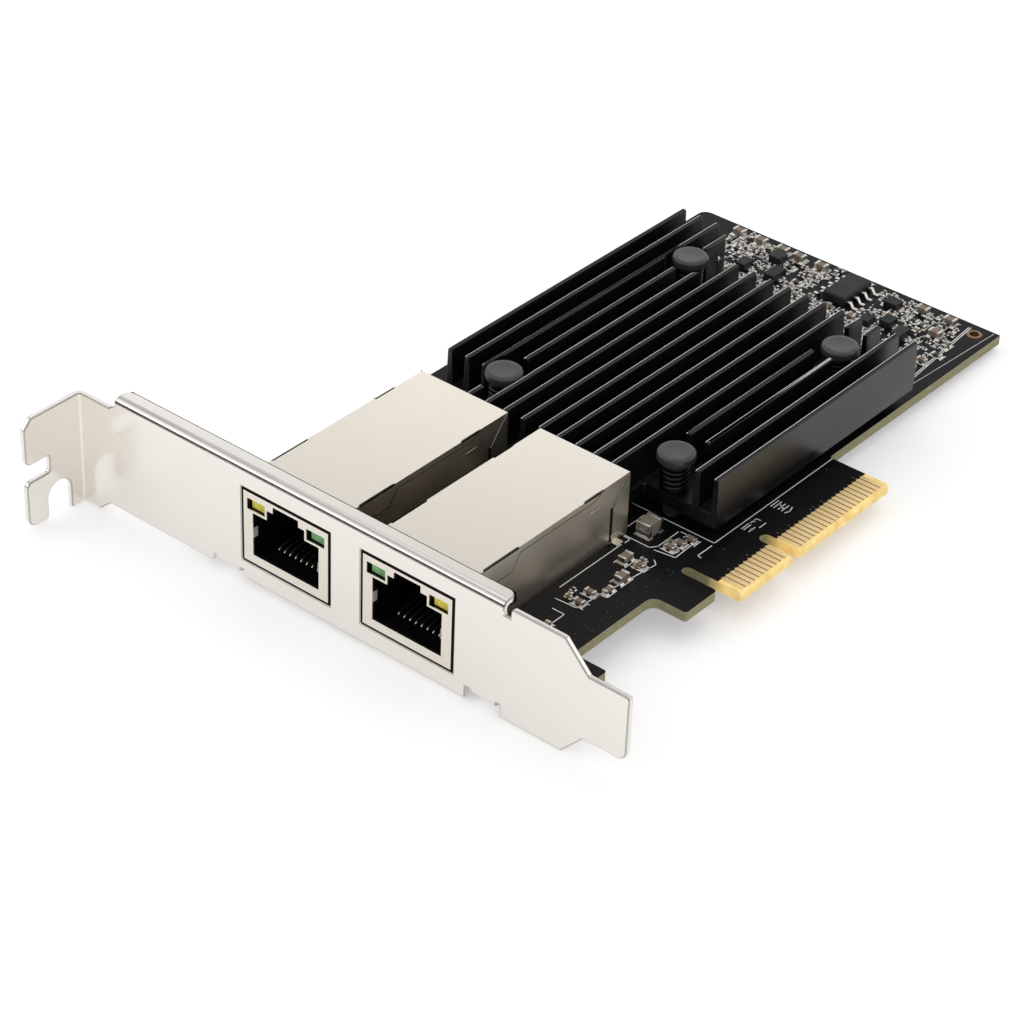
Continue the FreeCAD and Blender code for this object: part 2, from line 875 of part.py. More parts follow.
def make_pin(x, y):
    """Push pin: bevelled round head, then a flat shank that ends in a split barb."""
    head = [
        (0, pin_head_low),
        (pin_head / 2, pin_head_low),
        (pin_head / 2, pin_top - pin_head_bevel),
        (pin_head / 2 - pin_head_bevel, pin_top),
        (0, pin_top),
    ]
    face = Part.Face(rounded_wire(head, lambda u, v: Vector(x + u, y, v)))
    pin = face.revolve(Vector(x, y, 0), Vector(0, 0, 1), 360)
    barb_high = board_bottom - barb_gap
    barb_low = barb_high - barb_length
    split_top = barb_low + barb_split_height
    right = [
        (barb_split / 2, barb_low),
        (barb_tip / 2, barb_low),
        (barb_width / 2, barb_high),
        (pin_shaft / 2, barb_high),
        (pin_shaft / 2, pin_head_low + pin_head_height / 2),
    ]
    left = [(-u, v) for u, v in reversed(right)]
    outline = right + left + [(-barb_split / 2, split_top), (barb_split / 2, split_top)]
    outline = [(x + u, v) for u, v in outline]
    shank = prism(outline, on_xz(y - pin_shaft_thick / 2), (0, pin_shaft_thick, 0))
    return pin.fuse(shank)


def make_spring(x, y):
    """Coil spring between the cooler's base and the pin's head, in short straight runs."""
    low = base_top + spring_wire / 2 + spring_end_gap
    high = pin_head_low - spring_wire / 2 - spring_end_gap
    radius = pin_shaft / 2 + spring_inner_gap + spring_wire / 2
    runs = spring_turn_count * spring_run_count
    rings = []
    for step in range(runs + 1):
        turn = 2 * math.pi * step / spring_run_count
        rise = low + (high - low) * step / runs
        ring = []
        for corner in range(spring_side_count):
            angle = 2 * math.pi * corner / spring_side_count
            out = radius + spring_wire / 2 * math.cos(angle)
            level = rise + spring_wire / 2 * math.sin(angle)
            ring.append(Vector(x + out * math.cos(turn), y + out * math.sin(turn), level))
        rings.append(ring)
    faces = [Part.Face(Part.makePolygon(rings[0] + rings[0][:1]))]
    faces.append(Part.Face(Part.makePolygon(rings[-1] + rings[-1][:1])))
    for step in range(runs):
        for corner in range(spring_side_count):
            a = rings[step][corner]
            b = rings[step][(corner + 1) % spring_side_count]
            c = rings[step + 1][(corner + 1) % spring_side_count]
            d = rings[step + 1][corner]
            faces.append(Part.Face(Part.makePolygon([a, b, c, a])))
            faces.append(Part.Face(Part.makePolygon([a, c, d, a])))
    shell = Part.makeShell(faces)
    spring = Part.makeSolid(shell)
    if spring.Volume < 0:
        spring.reverse()
    return spring


def chip_part(x, y, length, width, height, turned, low):
    """Two-terminal part: its body and its two solder caps, lying along X or along Y."""
    cap = length * solder_cap_share
    half_l = length / 2
    half_w = width / 2
    spans = ((-half_l + cap, half_l - cap), (-half_l, -half_l + cap), (half_l - cap, half_l))
    pieces = []
    for number, (start, end) in enumerate(spans):
        inset = body_inset if number == 0 else 0.0
        across = (-half_w + inset, half_w - inset)
        levels = (low + inset, low + height - inset)
        if turned:
            pieces.append(block((x + across[0], x + across[1]), (y + start, y + end), levels))
        else:
            pieces.append(block((x + start, x + end), (y + across[0], y + across[1]), levels))
    return pieces[0], pieces[1:]


# Kinds of two-terminal part: length, width and height
tall_kind = (3.1, 2.4, 2.3)
large_kind = (2.0, 1.3, 1.15)
small_kind = (1.6, 0.85, 0.75)
resistor_kind = (1.6, 0.85, 0.45)

# Small leaded chips near the rear edge: x, inset from that edge, width, length
regulators = (
    (-48.6, 5.0, 2.2, 2.2),
    (-46.1, 9.4, 2.0, 3.5),
    (-51.5, 10.1, 1.8, 2.5),
    (-27.6, 11.0, 1.8, 2.3),
    (-24.9, 9.1, 1.9, 2.4),
    (-21.6, 10.7, 1.9, 2.9),
    (-27.3, 4.2, 2.4, 2.0),
)

# Parts placed one by one: x, y, lying along Y or not
large_spots = (
    (-16.4, jack_rear - 5.5, True),
    (-14.0, jack_rear - 9.4, True),
    (-17.6, board_rear - 7.1, False),
    (-17.9, board_rear - 2.5, False),
)
small_spots = (
    (-14.0, jack_rear - 5.3, False),
    (-13.7, jack_rear - 12.8, True),
    (-15.2, jack_rear - 14.7, False),
    (-14.9, jack_rear - 17.4, False),
    (-15.0, jack_rear - 24.5, True),
    (-13.6, jack_rear + 0.8, False),
    (-13.1, jack_rear + 2.6, False),
    (-12.6, jack_rear + 4.3, False),
)

crystal_spot = (-15.6, sink_rear + 5.8)


def taken_areas():
    """Boxes on the component side that the field of small parts keeps clear of."""
    areas = [
        (
            flash_x - flash_width / 2 - flash_lead_reach,
            flash_x + flash_width / 2 + flash_lead_reach,
            flash_y - flash_length / 2,
            flash_y + flash_length / 2,
        )
    ]
    for x, inset, width, length in regulators:
        y = board_rear - inset
        side = width / 2 + regulator_lead_reach
        areas.append((x - side, x + side, y - length / 2, y + length / 2))
    for x, y, _ in large_spots:
        areas.append((x - large_kind[0], x + large_kind[0], y - large_kind[1], y + large_kind[1]))
    reach = crystal_length / 2
    areas.append((crystal_spot[0] - reach, crystal_spot[0] + reach, crystal_spot[1] - reach, crystal_spot[1] + reach))
    tool_x = edge_x - tooling_inset_x
    tool_y = board_rear - tooling_inset_y
    areas.append((tool_x - 2, tool_x + 2, tool_y - 2, tool_y + 2))
    return areas


def is_free(x, y, areas):
    for low_x, high_x, low_y, high_y in areas:
        inside_x = low_x - field_margin < x < high_x + field_margin
        inside_y = low_y - field_margin < y < high_y + field_margin
        if inside_x and inside_y:
            return False
    return True


def lay_out_parts():
    """Every two-terminal part as (kind, x, y, turned, low), sorted by kind."""
    laid = {"large": [], "small": [], "resistor": []}
    for x, y, turned in large_spots:
        laid["large"].append((x, y, turned, board_top))
    for x, y, turned in small_spots:
        laid["small"].append((x, y, turned, board_top))
    areas = taken_areas()
    left_run_x = sink_left + sink_left_run
    rows = int((board_rear - sink_rear) / field_pitch_y)
    columns = int((-sink_left + edge_x) / field_pitch_x)
    for row in range(rows):
        y = board_rear - field_rear_inset - field_pitch_y * row
        for column in range(columns):
            x = sink_left + field_side_inset + field_pitch_x * column
            x += field_shift * ((row + column) % 3 - 1)
            rear = sink_rear_left if x < left_run_x + sink_chamfer_x + field_margin else sink_rear
            if y < rear + 1.5 * field_margin or x > edge_x - field_side_inset:
                continue
            if not is_free(x, y, areas):
                continue
            turned = (row * 2 + column) % 3 == 0
            if row == 0:
                laid["large"].append((x, y, False, board_top))
            elif (row + 2 * column) % 3 == 1:
                laid["resistor"].append((x, y, turned, board_top))
            else:
                laid["small"].append((x, y, turned, board_top))
    strip_x = (board_left + sink_left) / 2
    for index in range(7):
        y = sink_front + strip_pitch * (index + 1)
        kind = "resistor" if index % 2 else "small"
        laid[kind].append((strip_x, y, True, board_top))
    for column in (-1, 0, 1):
        for row in (-1, 0, 1):
            if column == 0 and row == 0:
                continue
            x = chip_x + belly_pitch * column
            y = chip_y + belly_pitch * row
            laid["small"].append((x, y, (column + row) % 2 == 0, board_bottom - small_kind[2]))
    return laid


def make_parts_of(kind, places):
    bodies = []
    caps = []
    for x, y, turned, low in places:
        body, ends = chip_part(x, y, kind[0], kind[1], kind[2], turned, low)
        bodies.append(body)
        caps += ends
    return Part.makeCompound(bodies), Part.makeCompound(caps)


def make_flash_chip():
    low = board_top + flash_standoff
    chip = block(
        (flash_x - flash_width / 2, flash_x + flash_width / 2),
        (flash_y - flash_length / 2, flash_y + flash_length / 2),
        (low, low + flash_height),
    )
    top_edges = [edge for edge in chip.Edges if edge.BoundBox.ZMin > low + flash_height - 0.01]
    return chip.makeChamfer(flash_bevel, top_edges)


def make_flash_leads():
    leads = []
    high = board_top + flash_lead_high
    foot = board_top + lead_sheet / 2
    for side in (1, -1):
        start = flash_x + side * flash_width / 2
        path = [
            (start, high),
            (start + side * flash_lead_reach * 0.35, high),
            (start + side * flash_lead_reach * 0.6, foot),
            (start + side * flash_lead_reach, foot),
        ]
        for y in wire_places(flash_y, flash_lead_count, flash_lead_pitch):
            begin = y - flash_lead_width / 2
            leads.append(bent_strip(path, lead_sheet, on_xz(begin), (0, flash_lead_width, 0)))
    return Part.makeCompound(leads)


def make_regulators():
    bodies = []
    leads = []
    for x, inset, width, length in regulators:
        y = board_rear - inset
        bodies.append(
            block(
                (x - width / 2, x + width / 2),
                (y - length / 2, y + length / 2),
                (board_top, board_top + regulator_height),
            )
        )
        for side, count in ((1, 2), (-1, 3)):
            start = x + side * width / 2
            end = start + side * regulator_lead_reach
            for lead_y in wire_places(y, count, length / 3.4):
                leads.append(
                    block(
                        (min(start, end), max(start, end)),
                        (lead_y - regulator_lead_width / 2, lead_y + regulator_lead_width / 2),
                        (board_top, board_top + regulator_lead_height),
                    )
                )
    return Part.makeCompound(bodies), Part.makeCompound(leads)


def make_crystal():
    x, y = crystal_spot
    return block(
        (x - crystal_width / 2, x + crystal_width / 2),
        (y - crystal_length / 2, y + crystal_length / 2),
        (board_top, board_top + crystal_height),
    )


def square_block(x, y, side, low, height):
    half = side / 2
    return block((x - half, x + half), (y - half, y + half), (low, low + height))


save("board", make_board())
save("edge_contacts_top", make_contacts(board_top, board_top + contact_plating))
save("edge_contacts_bottom", make_contacts(board_bottom - contact_plating, board_bottom))
save("bracket", make_bracket())
save("bracket_screws", Part.makeCompound([make_screw(ear_x, ear_screw_y()) for ear_x, _ in ears]))
for number, centre in enumerate(jack_centres, 1):
    name = "jack_%d_" % number
    save(name + "shell", make_jack_shell(centre))
    save(name + "housing", make_jack_housing(centre))
    save(name + "contacts", make_plug_wires(centre))
    save(name + "magnetics", make_magnetics(centre))
    save(name + "leads", make_jack_leads(centre))
    save(name + "light_left", make_light(centre, -1))
    save(name + "light_right", make_light(centre, 1))
save("heat_sink", make_heat_sink())
save("thermal_pad", square_block(chip_x, chip_y, pad_side, chip_top, pad_thickness))
save("controller_chip", square_block(chip_x, chip_y, chip_side, board_top, chip_height))
for number, pin in enumerate(pins, 1):
    save("push_pin_%d" % number, make_pin(pin[0], pin[1]))
    save("push_pin_spring_%d" % number, make_spring(pin[0], pin[1]))
save("flash_chip", make_flash_chip())
save("flash_chip_leads", make_flash_leads())
regulator_bodies, regulator_leads = make_regulators()
save("regulator_chips", regulator_bodies)
save("regulator_leads", regulator_leads)
save("crystal", make_crystal())
tall_body, tall_caps = make_parts_of(tall_kind, [(tall_capacitor_x, tall_capacitor_y, True, board_top)])
save("tall_capacitor", tall_body)
save("tall_capacitor_ends", tall_caps)
laid_out = lay_out_parts()
for kind_name, kind, title in (
    ("large", large_kind, "large_capacitor"),
    ("small", small_kind, "small_capacitor"),
    ("resistor", resistor_kind, "resistor"),
):
    part_bodies, part_caps = make_parts_of(kind, laid_out[kind_name])
    save(title + "s", part_bodies)
    save(title + "_ends", part_caps)
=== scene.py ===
import json
import math
import random

import bmesh
import bpy
from mathutils import Matrix, Vector
from mathutils.geometry import intersect_point_line


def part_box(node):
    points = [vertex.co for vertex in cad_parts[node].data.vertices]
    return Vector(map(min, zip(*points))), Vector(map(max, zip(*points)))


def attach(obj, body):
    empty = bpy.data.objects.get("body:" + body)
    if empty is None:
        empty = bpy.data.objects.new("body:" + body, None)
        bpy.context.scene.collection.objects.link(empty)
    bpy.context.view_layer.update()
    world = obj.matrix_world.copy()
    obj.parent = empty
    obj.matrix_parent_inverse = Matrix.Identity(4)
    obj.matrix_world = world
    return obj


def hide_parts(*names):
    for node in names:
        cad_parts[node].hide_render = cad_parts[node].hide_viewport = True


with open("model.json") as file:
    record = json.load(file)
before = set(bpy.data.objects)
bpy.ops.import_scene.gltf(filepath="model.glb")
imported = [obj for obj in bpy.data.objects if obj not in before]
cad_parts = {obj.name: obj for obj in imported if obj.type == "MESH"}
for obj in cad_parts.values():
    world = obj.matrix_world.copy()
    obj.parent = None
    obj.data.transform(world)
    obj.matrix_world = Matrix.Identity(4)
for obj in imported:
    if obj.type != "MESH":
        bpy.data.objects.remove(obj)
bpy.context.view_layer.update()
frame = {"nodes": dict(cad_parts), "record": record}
nodes = frame["nodes"]
mm = 0.001
weldDistance = 0.0005 * mm
print("frame loaded,", len(nodes), "nodes")


# Shader helpers; new nodes go into the last tree of the list
trees = []


def setInputs(node, values):
    # each value is a socket to link, or a number, vector or colour
    for name, value in values.items():
        socket = node.inputs[name]
        if isinstance(value, bpy.types.NodeSocket):
            node.id_data.links.new(value, socket)
        elif socket.type == "RGBA":
            socket.default_value = (*value[:3], 1)
        else:
            socket.default_value = value


def addNode(kind, inputs, **settings):
    node = trees[-1].nodes.new("ShaderNode" + kind)
    for name, value in settings.items():
        setattr(node, name, value)
    setInputs(node, inputs)
    return node


def startFinish(name, color, roughness, metallic=0.0, ior=1.5):
    finish = bpy.data.materials.new(name)
    finish.use_nodes = True
    trees.append(finish.node_tree)
    shader = trees[-1].nodes["Principled BSDF"]
    setInputs(shader, {"Base Color": color, "Roughness": roughness, "Metallic": metallic, "IOR": ior})
    return finish, shader, addNode("TexCoord", {}).outputs["Object"]


def stretched(coords, scale, turn=0.0):
    values = {"Vector": coords, "Scale": scale, "Rotation": (0, 0, turn)}
    return addNode("Mapping", values).outputs["Vector"]


def noise(coords, scale, detail=2.0, roughness=0.5):
    values = {"Vector": coords, "Scale": scale, "Detail": detail, "Roughness": roughness}
    return addNode("TexNoise", values).outputs[0]


def math2(operation, a, b=0.0, clamp=False):
    return addNode("Math", {0: a, 1: b}, operation=operation, use_clamp=clamp).outputs[0]


def times(a, b):
    return math2("MULTIPLY", a, b)


def axisOf(vector, axis):
    return addNode("SeparateXYZ", {"Vector": vector}).outputs[axis]


def turnedTo(axis):
    # the surface normal's share along one axis
    return axisOf(addNode("NewGeometry", {}).outputs["Normal"], axis)


def between(value, low, high, outLow=0.0, outHigh=1.0):
    values = {"Value": value, "From Min": low, "From Max": high, "To Min": outLow, "To Max": outHigh}
    return addNode("MapRange", values).outputs[0]


def mixColor(factor, a, b):
    return addNode("Mix", {0: factor, 6: a, 7: b}, data_type="RGBA").outputs[2]


def addBump(shader, height, distance, strength=1.0):
    # a new bump goes on top of the one already there
    values = {"Height": height, "Distance": distance, "Strength": strength}
    old = shader.inputs["Normal"].links
    if old:
        values["Normal"] = old[0].from_socket
    setInputs(shader, {"Normal": addNode("Bump", values).outputs["Normal"]})


# Finishes

def makeBoardFinish():
    # black solder mask on the flat faces, bare glass laminate on the cut edges, golden
    # translucent laminate round the contacts, given a faint painted glow
    look = {"mask": (0.0052, 0.0052, 0.0056), "underMask": (0.0095, 0.0095, 0.0105),
            "cloud": (0.008, 0.008, 0.010), "laminate": (0.36, 0.34, 0.19), "layer": (0.24, 0.21, 0.11),
            "speck": (0.52, 0.50, 0.34), "golden": (0.96, 0.74, 0.32), "goldenDark": (0.80, 0.56, 0.20),
            "groove": (0.09, 0.05, 0.012), "notch": (0.010, 0.010, 0.009), "roughness": 0.33,
            "tracePitch": 0.55, "cell": 5.5, "shine": 0.10, "glow": 0.34, "layerPitch": 0.33,
            "turns": (0.0, math.pi / 4, math.pi / 2, -math.pi / 4), "traceDepth": 0.02,
            "grainDepth": 0.01, "pickStart": 0.12, "pickStep": 0.17, "pickReach": 0.075}
    # soft limits in metres, each from fully outside to fully inside
    zone = {"connectorX": (-0.0060, -0.0036), "connectorY": (-0.0131, -0.0129),
            "notchRight": (-0.0165, -0.0175), "notchRear": (-0.0110, -0.0112),
            "notchLeft": (-0.0600, -0.0590), "padsX": (-0.00425, -0.0041),
            "frontEnd": (-0.01185, -0.01195), "rearEnd": (0.02187, 0.02197),
            "key": (0.00118, 0.00108), "edge": (-0.00068, -0.00058)}
    finish, shader, coords = startFinish("boardBlack", look["mask"], look["roughness"])
    wavesPerTrace = 2 * math.pi / 20
    cells = addNode("TexVoronoi", {"Vector": coords, "Scale": 1 / (look["cell"] * mm)}, distance="CHEBYCHEV")
    pick = addNode("SeparateColor", {"Color": cells.outputs["Color"]}).outputs[0]
    pattern = 0.0
    for index, turn in enumerate(look["turns"]):
        values = {"Vector": stretched(coords, (1, 1, 1), turn), "Distortion": 0.0,
                  "Scale": wavesPerTrace / (look["tracePitch"] * mm)}
        wave = addNode("TexWave", values)
        stripe = between(wave.outputs["Fac"], 0.62, 0.72)
        values = {0: pick, 1: look["pickStart"] + look["pickStep"] * index, 2: look["pickReach"]}
        inside = addNode("Math", values, operation="COMPARE").outputs[0]
        pattern = math2("ADD", times(stripe, inside), pattern, True)
    dots = addNode("TexVoronoi", {"Vector": coords, "Scale": 430.0, "Randomness": 0.8})
    pattern = math2("ADD", pattern, between(dots.outputs["Distance"], 0.13, 0.10), True)
    cloud = noise(coords, 90.0, 3.0)
    mask = mixColor(pattern, look["mask"], look["underMask"])
    mask = mixColor(between(cloud, 0.35, 0.7, 0.0, 0.5), mask, look["cloud"])
    alongX = axisOf(coords, "X")
    alongY = axisOf(coords, "Y")

    # cut edges: fibre layers, golden at the connector, and painted shade in the jack notches
    values = {"Vector": coords, "Scale": wavesPerTrace / (look["layerPitch"] * mm), "Distortion": 1.5,
              "Detail": 2.0, "Detail Scale": 300.0}
    layers = addNode("TexWave", values, bands_direction="Z").outputs["Fac"]
    fibres = noise(stretched(coords, (1, 1, 4)), 900.0, 4.0, 0.7)
    side = mixColor(times(layers, fibres), look["laminate"], look["layer"])
    side = mixColor(between(fibres, 0.56, 0.70), side, look["speck"])
    streaky = between(noise(coords, 500.0, 3.0), 0.35, 0.65)
    golden = mixColor(streaky, look["golden"], look["goldenDark"])
    pastFoot = between(alongY, *zone["connectorY"])
    inConnector = times(between(alongX, *zone["connectorX"]), pastFoot)
    side = mixColor(inConnector, side, golden)
    inNotch = times(between(alongX, *zone["notchRight"]), between(alongX, *zone["notchLeft"]))
    inNotch = times(inNotch, between(alongY, *zone["notchRear"]))
    # the cut edges inside the jack notches are painted nearly black: painted shade where the jacks crowd
    # them
    side = mixColor(inNotch, side, look["notch"])

    # flat faces under the contacts: dark grooves between them, golden where no contact stands
    belowPads = times(between(alongX, *zone["padsX"]), pastFoot)
    beyondPads = math2("MAXIMUM", between(alongY, *zone["frontEnd"]), between(alongY, *zone["rearEnd"]))
    besideKey = between(math2("ABSOLUTE", alongY), *zone["key"])
    bare = math2("MAXIMUM", beyondPads, besideKey)
    bare = math2("MAXIMUM", bare, between(alongX, *zone["edge"]))
    mask = mixColor(belowPads, mask, mixColor(bare, look["groove"], golden))

    isSide = between(math2("ABSOLUTE", turnedTo("Z")), 0.995, 0.985)
    # the golden laminate glows faintly through its emission: painted light, as the board is no lamp
    shown = mixColor(isSide, times(belowPads, bare), inConnector)
    rough = math2("ADD", isSide, times(cloud, 0.3))
    setInputs(shader, {
        "Base Color": mixColor(isSide, mask, side), "Emission Color": golden,
        "Emission Strength": times(shown, look["glow"]),
        "Roughness": between(rough, 0.0, 1.3, 0.30, 0.62),
        "Specular IOR Level": between(isSide, 0.0, 1.0, look["shine"], 0.3)})
    addBump(shader, pattern, look["traceDepth"] * mm, 0.5)
    addBump(shader, noise(coords, 1400.0, 2.0), look["grainDepth"] * mm, 0.3)
    return finish


def makeMetal(name, color, roughness, grain, grainScale, tone=0.05, mottled=0.02, sideRoughness=0.0,
              grainDepth=0.004):
    # rolled or brushed sheet: fine streaks along one direction and faint mottling; with a side
    # roughness, upright sides carry brownish patches of painted reflection and the rear a paler painted
    # sheen
    look = {"patchStretch": (1, 0.45, 1.3), "patchScale": 190.0, "paintedSideReflection": (0.92, 0.84, 0.72),
            "paintedRearSheen": 1.15, "paintedRearSheenShare": 0.75, "frontToRear": (-0.046, -0.016), "sideFrom": 0.7}
    finish, shader, coords = startFinish(name, color, roughness, 1.0)
    streaks = noise(stretched(coords, grain), grainScale, 3.0, 0.6)
    clouds = noise(coords, 160.0, 3.0)
    dark = tuple(c * (1 - tone) for c in color)
    pale = tuple(min(1.0, c * (1 + mottled)) for c in color)
    skin = mixColor(between(streaks, 0.3, 0.7), dark, mixColor(clouds, color, pale))
    rough = math2("ADD", between(streaks, 0.25, 0.75, -0.03, 0.03), between(clouds, 0.3, 0.7, -0.02, 0.03))
    rough = math2("ADD", rough, roughness)
    if sideRoughness:
        turned = between(math2("ABSOLUTE", turnedTo("X")), 0.5, 0.9)
        patches = noise(stretched(coords, look["patchStretch"]), look["patchScale"], 1.5, 0.5)
        patches = between(patches, 0.32, 0.68)
        # brownish patches on the upright sides: painted reflection
        paintedSideReflection = tuple(c * share for c, share in zip(color, look["paintedSideReflection"]))
        skin = mixColor(times(turned, patches), skin, paintedSideReflection)
        # paler towards the rear: a painted sheen
        paintedRearSheen = tuple(min(1.0, c * look["paintedRearSheen"]) for c in color)
        toRear = between(axisOf(coords, "Y"), *look["frontToRear"], 0.0, look["paintedRearSheenShare"])
        skin = mixColor(toRear, skin, paintedRearSheen)
        added = between(patches, 0.0, 1.0, sideRoughness * look["sideFrom"], sideRoughness)
        rough = math2("ADD", rough, times(turned, added))
    setInputs(shader, {"Base Color": skin, "Roughness": rough})
    addBump(shader, streaks, grainDepth * mm, 0.35)
    return finish


def makePlastic(name, color, roughness, grainScale=2500.0, grainDepth=0.012, speck=None, shine=0.5):
    # moulded or printed surface with a fine grain and slightly uneven gloss
    finish, shader, coords = startFinish(name, color, roughness)
    grain = noise(coords, grainScale, 3.0, 0.65)
    clouds = noise(coords, 220.0, 2.0)
    other = speck or tuple(c * 1.5 + 0.002 for c in color)
    specks = between(grain, 0.45, 0.75, 0.0, 0.7)
    gloss = between(clouds, 0.3, 0.7, roughness - 0.05, roughness + 0.07)
    setInputs(shader, {"Base Color": mixColor(specks, color, other), "Roughness": gloss,
                       "Specular IOR Level": shine})
    addBump(shader, grain, grainDepth * mm, 0.6)
    return finish


def makeCoolerFinish():
    # black anodised extrusion: drawing lines run along the fins; their left tip edges carry a painted
    # highlight
    look = {"base": (0.004, 0.004, 0.0045), "dark": (0.003, 0.003, 0.0035), "pale": (0.008, 0.008, 0.0085),
            "paintedTipHighlight": (0.97, 0.97, 0.975), "tipLow": 0.01035, "tipHigh": 0.01045, "flatShine": 0.22,
            "lineStretch": (1.0, 0.015, 1.0), "lineScale": 5200.0, "lineDepth": 0.004}
    finish, shader, coords = startFinish("coolerBlack", look["base"], 0.32)
    lines = noise(stretched(coords, look["lineStretch"]), look["lineScale"], 3.0, 0.6)
    patches = noise(coords, 120.0, 3.0)
    skin = mixColor(between(lines, 0.4, 0.7), look["dark"], look["pale"])
    atTip = between(axisOf(coords, "Z"), look["tipLow"], look["tipHigh"])
    paintedTipHighlight = times(atTip, between(turnedTo("X"), -0.06, -0.20))
    flat = times(atTip, between(turnedTo("Z"), 0.90, 0.97))
    rough = math2("ADD", between(patches, 0.3, 0.7, 0.26, 0.34), between(lines, 0.3, 0.7, -0.03, 0.05))
    setInputs(shader, {
        "Base Color": mixColor(paintedTipHighlight, skin, look["paintedTipHighlight"]), "Roughness": rough,
        "Specular IOR Level": between(flat, 0.0, 1.0, 0.5, look["flatShine"])})
    addBump(shader, lines, look["lineDepth"] * mm, 0.4)
    return finish


def makeGoldFinish():
    # thin plating, wiped across the contacts, with a faint painted glow
    look = {"base": (0.93, 0.70, 0.33), "deep": (0.98, 0.67, 0.30), "pale": (1.0, 0.80, 0.42),
            "glow": (1.0, 0.72, 0.34), "paintedGlowStrength": 0.10, "wipeStretch": (0.05, 1, 1),
            "wipeScale": 3800.0, "wipeDepth": 0.004}
    finish, shader, coords = startFinish("goldPlating", look["base"], 0.30, 0.45)
    wipes = noise(stretched(coords, look["wipeStretch"]), look["wipeScale"], 3.0, 0.6)
    clouds = noise(coords, 420.0, 2.0)
    setInputs(shader, {
        "Base Color": mixColor(clouds, look["deep"], look["pale"]), "Emission Color": look["glow"],
        "Roughness": between(wipes, 0.3, 0.7, 0.20, 0.34), "Emission Strength": look["paintedGlowStrength"]})
    addBump(shader, wipes, look["wipeDepth"] * mm, 0.5)
    return finish


def makeLensFinish(name, color, deep):
    # tinted lens, darker towards the bottom, with a faint painted glow though it is no lamp
    look = {"root": (0.0068, 0.0084), "waver": 0.0006, "softRadius": (0.8, 0.8, 0.4)}
    finish, shader, coords = startFinish(name, color, 0.16, 0.0, 1.49)
    cloud = noise(coords, 900.0, 2.0)
    depth = math2("ADD", axisOf(coords, "Z"), times(cloud, look["waver"]))
    tint = mixColor(between(depth, *look["root"]), deep, color)
    setInputs(shader, {
        "Base Color": tint, "Emission Color": tint, "Emission Strength": 0.40, "Coat Weight": 0.3,
        "Subsurface Weight": 0.35, "Subsurface Radius": look["softRadius"], "Subsurface Scale": 0.0008,
        "Roughness": between(cloud, 0.3, 0.7, 0.12, 0.24)})
    return finish


finishes = {
    "board_black": makeBoardFinish(),
    "gold_plating": makeGoldFinish(),
    "bracket_nickel": makeMetal("bracketNickel", (0.90, 0.865, 0.815), 0.20, (0.08, 1, 1), 2600.0,
                                0.012, 0.008, grainDepth=0.001),
    "screw_steel": makeMetal("screwSteel", (0.72, 0.70, 0.66), 0.27, (1, 1, 0.2), 1500.0),
    "shield_nickel": makeMetal("shieldNickel", (0.83, 0.775, 0.69), 0.24, (0.03, 1, 1), 7000.0,
                               0.03, 0.02, 0.16),
    "housing_black": makePlastic("housingBlack", (0.003, 0.003, 0.003), 0.45, shine=0.12),
    "module_black": makePlastic("moduleBlack", (0.014, 0.014, 0.015), 0.55, 1800.0, 0.02),
    "tinned_lead": makeMetal("tinnedLead", (0.84, 0.815, 0.77), 0.30, (1, 1, 1), 900.0, 0.16, 0.05),
    "light_yellow": makeLensFinish("lightYellow", (0.62, 0.55, 0.03), (0.28, 0.24, 0.015)),
    "light_green": makeLensFinish("lightGreen", (0.14, 0.36, 0.13), (0.045, 0.13, 0.05)),
    "cooler_black": makeCoolerFinish(),
    "pad_grey": makePlastic("padGrey", (0.30, 0.32, 0.36), 0.75, 1500.0, 0.03, (0.42, 0.44, 0.48)),
    "chip_black": makePlastic("chipBlack", (0.014, 0.013, 0.013), 0.50, 3200.0, 0.018, shine=0.35),
    "pin_black": makePlastic("pinBlack", (0.042, 0.042, 0.043), 0.22, 1600.0, 0.004),
    "spring_steel": makeMetal("springSteel", (0.035, 0.035, 0.037), 0.34, (1, 1, 1), 2000.0, 0.15, 0.2),
    "crystal_can": makeMetal("crystalCan", (0.80, 0.78, 0.73), 0.30, (1, 0.1, 1), 2400.0),
    "ceramic_tan": makePlastic("ceramicTan", (0.25, 0.215, 0.17), 0.45, 3000.0, 0.015,
                               (0.32, 0.28, 0.22), 0.3),
    "ceramic_brown": makePlastic("ceramicBrown", (0.23, 0.165, 0.12), 0.42, 3000.0, 0.015,
                                 (0.32, 0.24, 0.18), 0.4),
    "resistor_black": makePlastic("resistorBlack", (0.012, 0.012, 0.014), 0.30, 2600.0, 0.01),
    "tinned_cap": makeMetal("tinnedCap", (0.80, 0.77, 0.72), 0.30, (1, 1, 1), 1400.0, 0.20, 0.06),
}
silkInk = makePlastic("silkInk", (0.88, 0.88, 0.86), 0.60, 2200.0, 0.01, (0.97, 0.97, 0.95))
# darker nickel for the bracket's rounded rims: painted shade
paintedRimShade = makeMetal("paintedRimShade", (0.50, 0.475, 0.44), 0.20, (0.08, 1, 1), 2600.0, 0.012, 0.008)
# dark colour for the bar along the crease: painted shade
paintedCreaseShade = makePlastic("paintedCreaseShade", (0.045, 0.040, 0.034), 0.60, 1500.0)
# near black discs in the via holes: painted shade
paintedHoleShade = makePlastic("paintedHoleShade", (0.010, 0.009, 0.008), 0.6)
copperRing = makeMetal("copperRing", (0.30, 0.20, 0.10), 0.38, (1, 1, 1), 1200.0, 0.12, 0.08)
viaMasked = makePlastic("viaMasked", (0.016, 0.016, 0.017), 0.4, shine=0.3)
# pale plain finish for the spring tabs: a painted reflection in place of their metal
tabPaintedSheen = makePlastic("tabPaintedSheen", (0.50, 0.48, 0.44), 0.45)
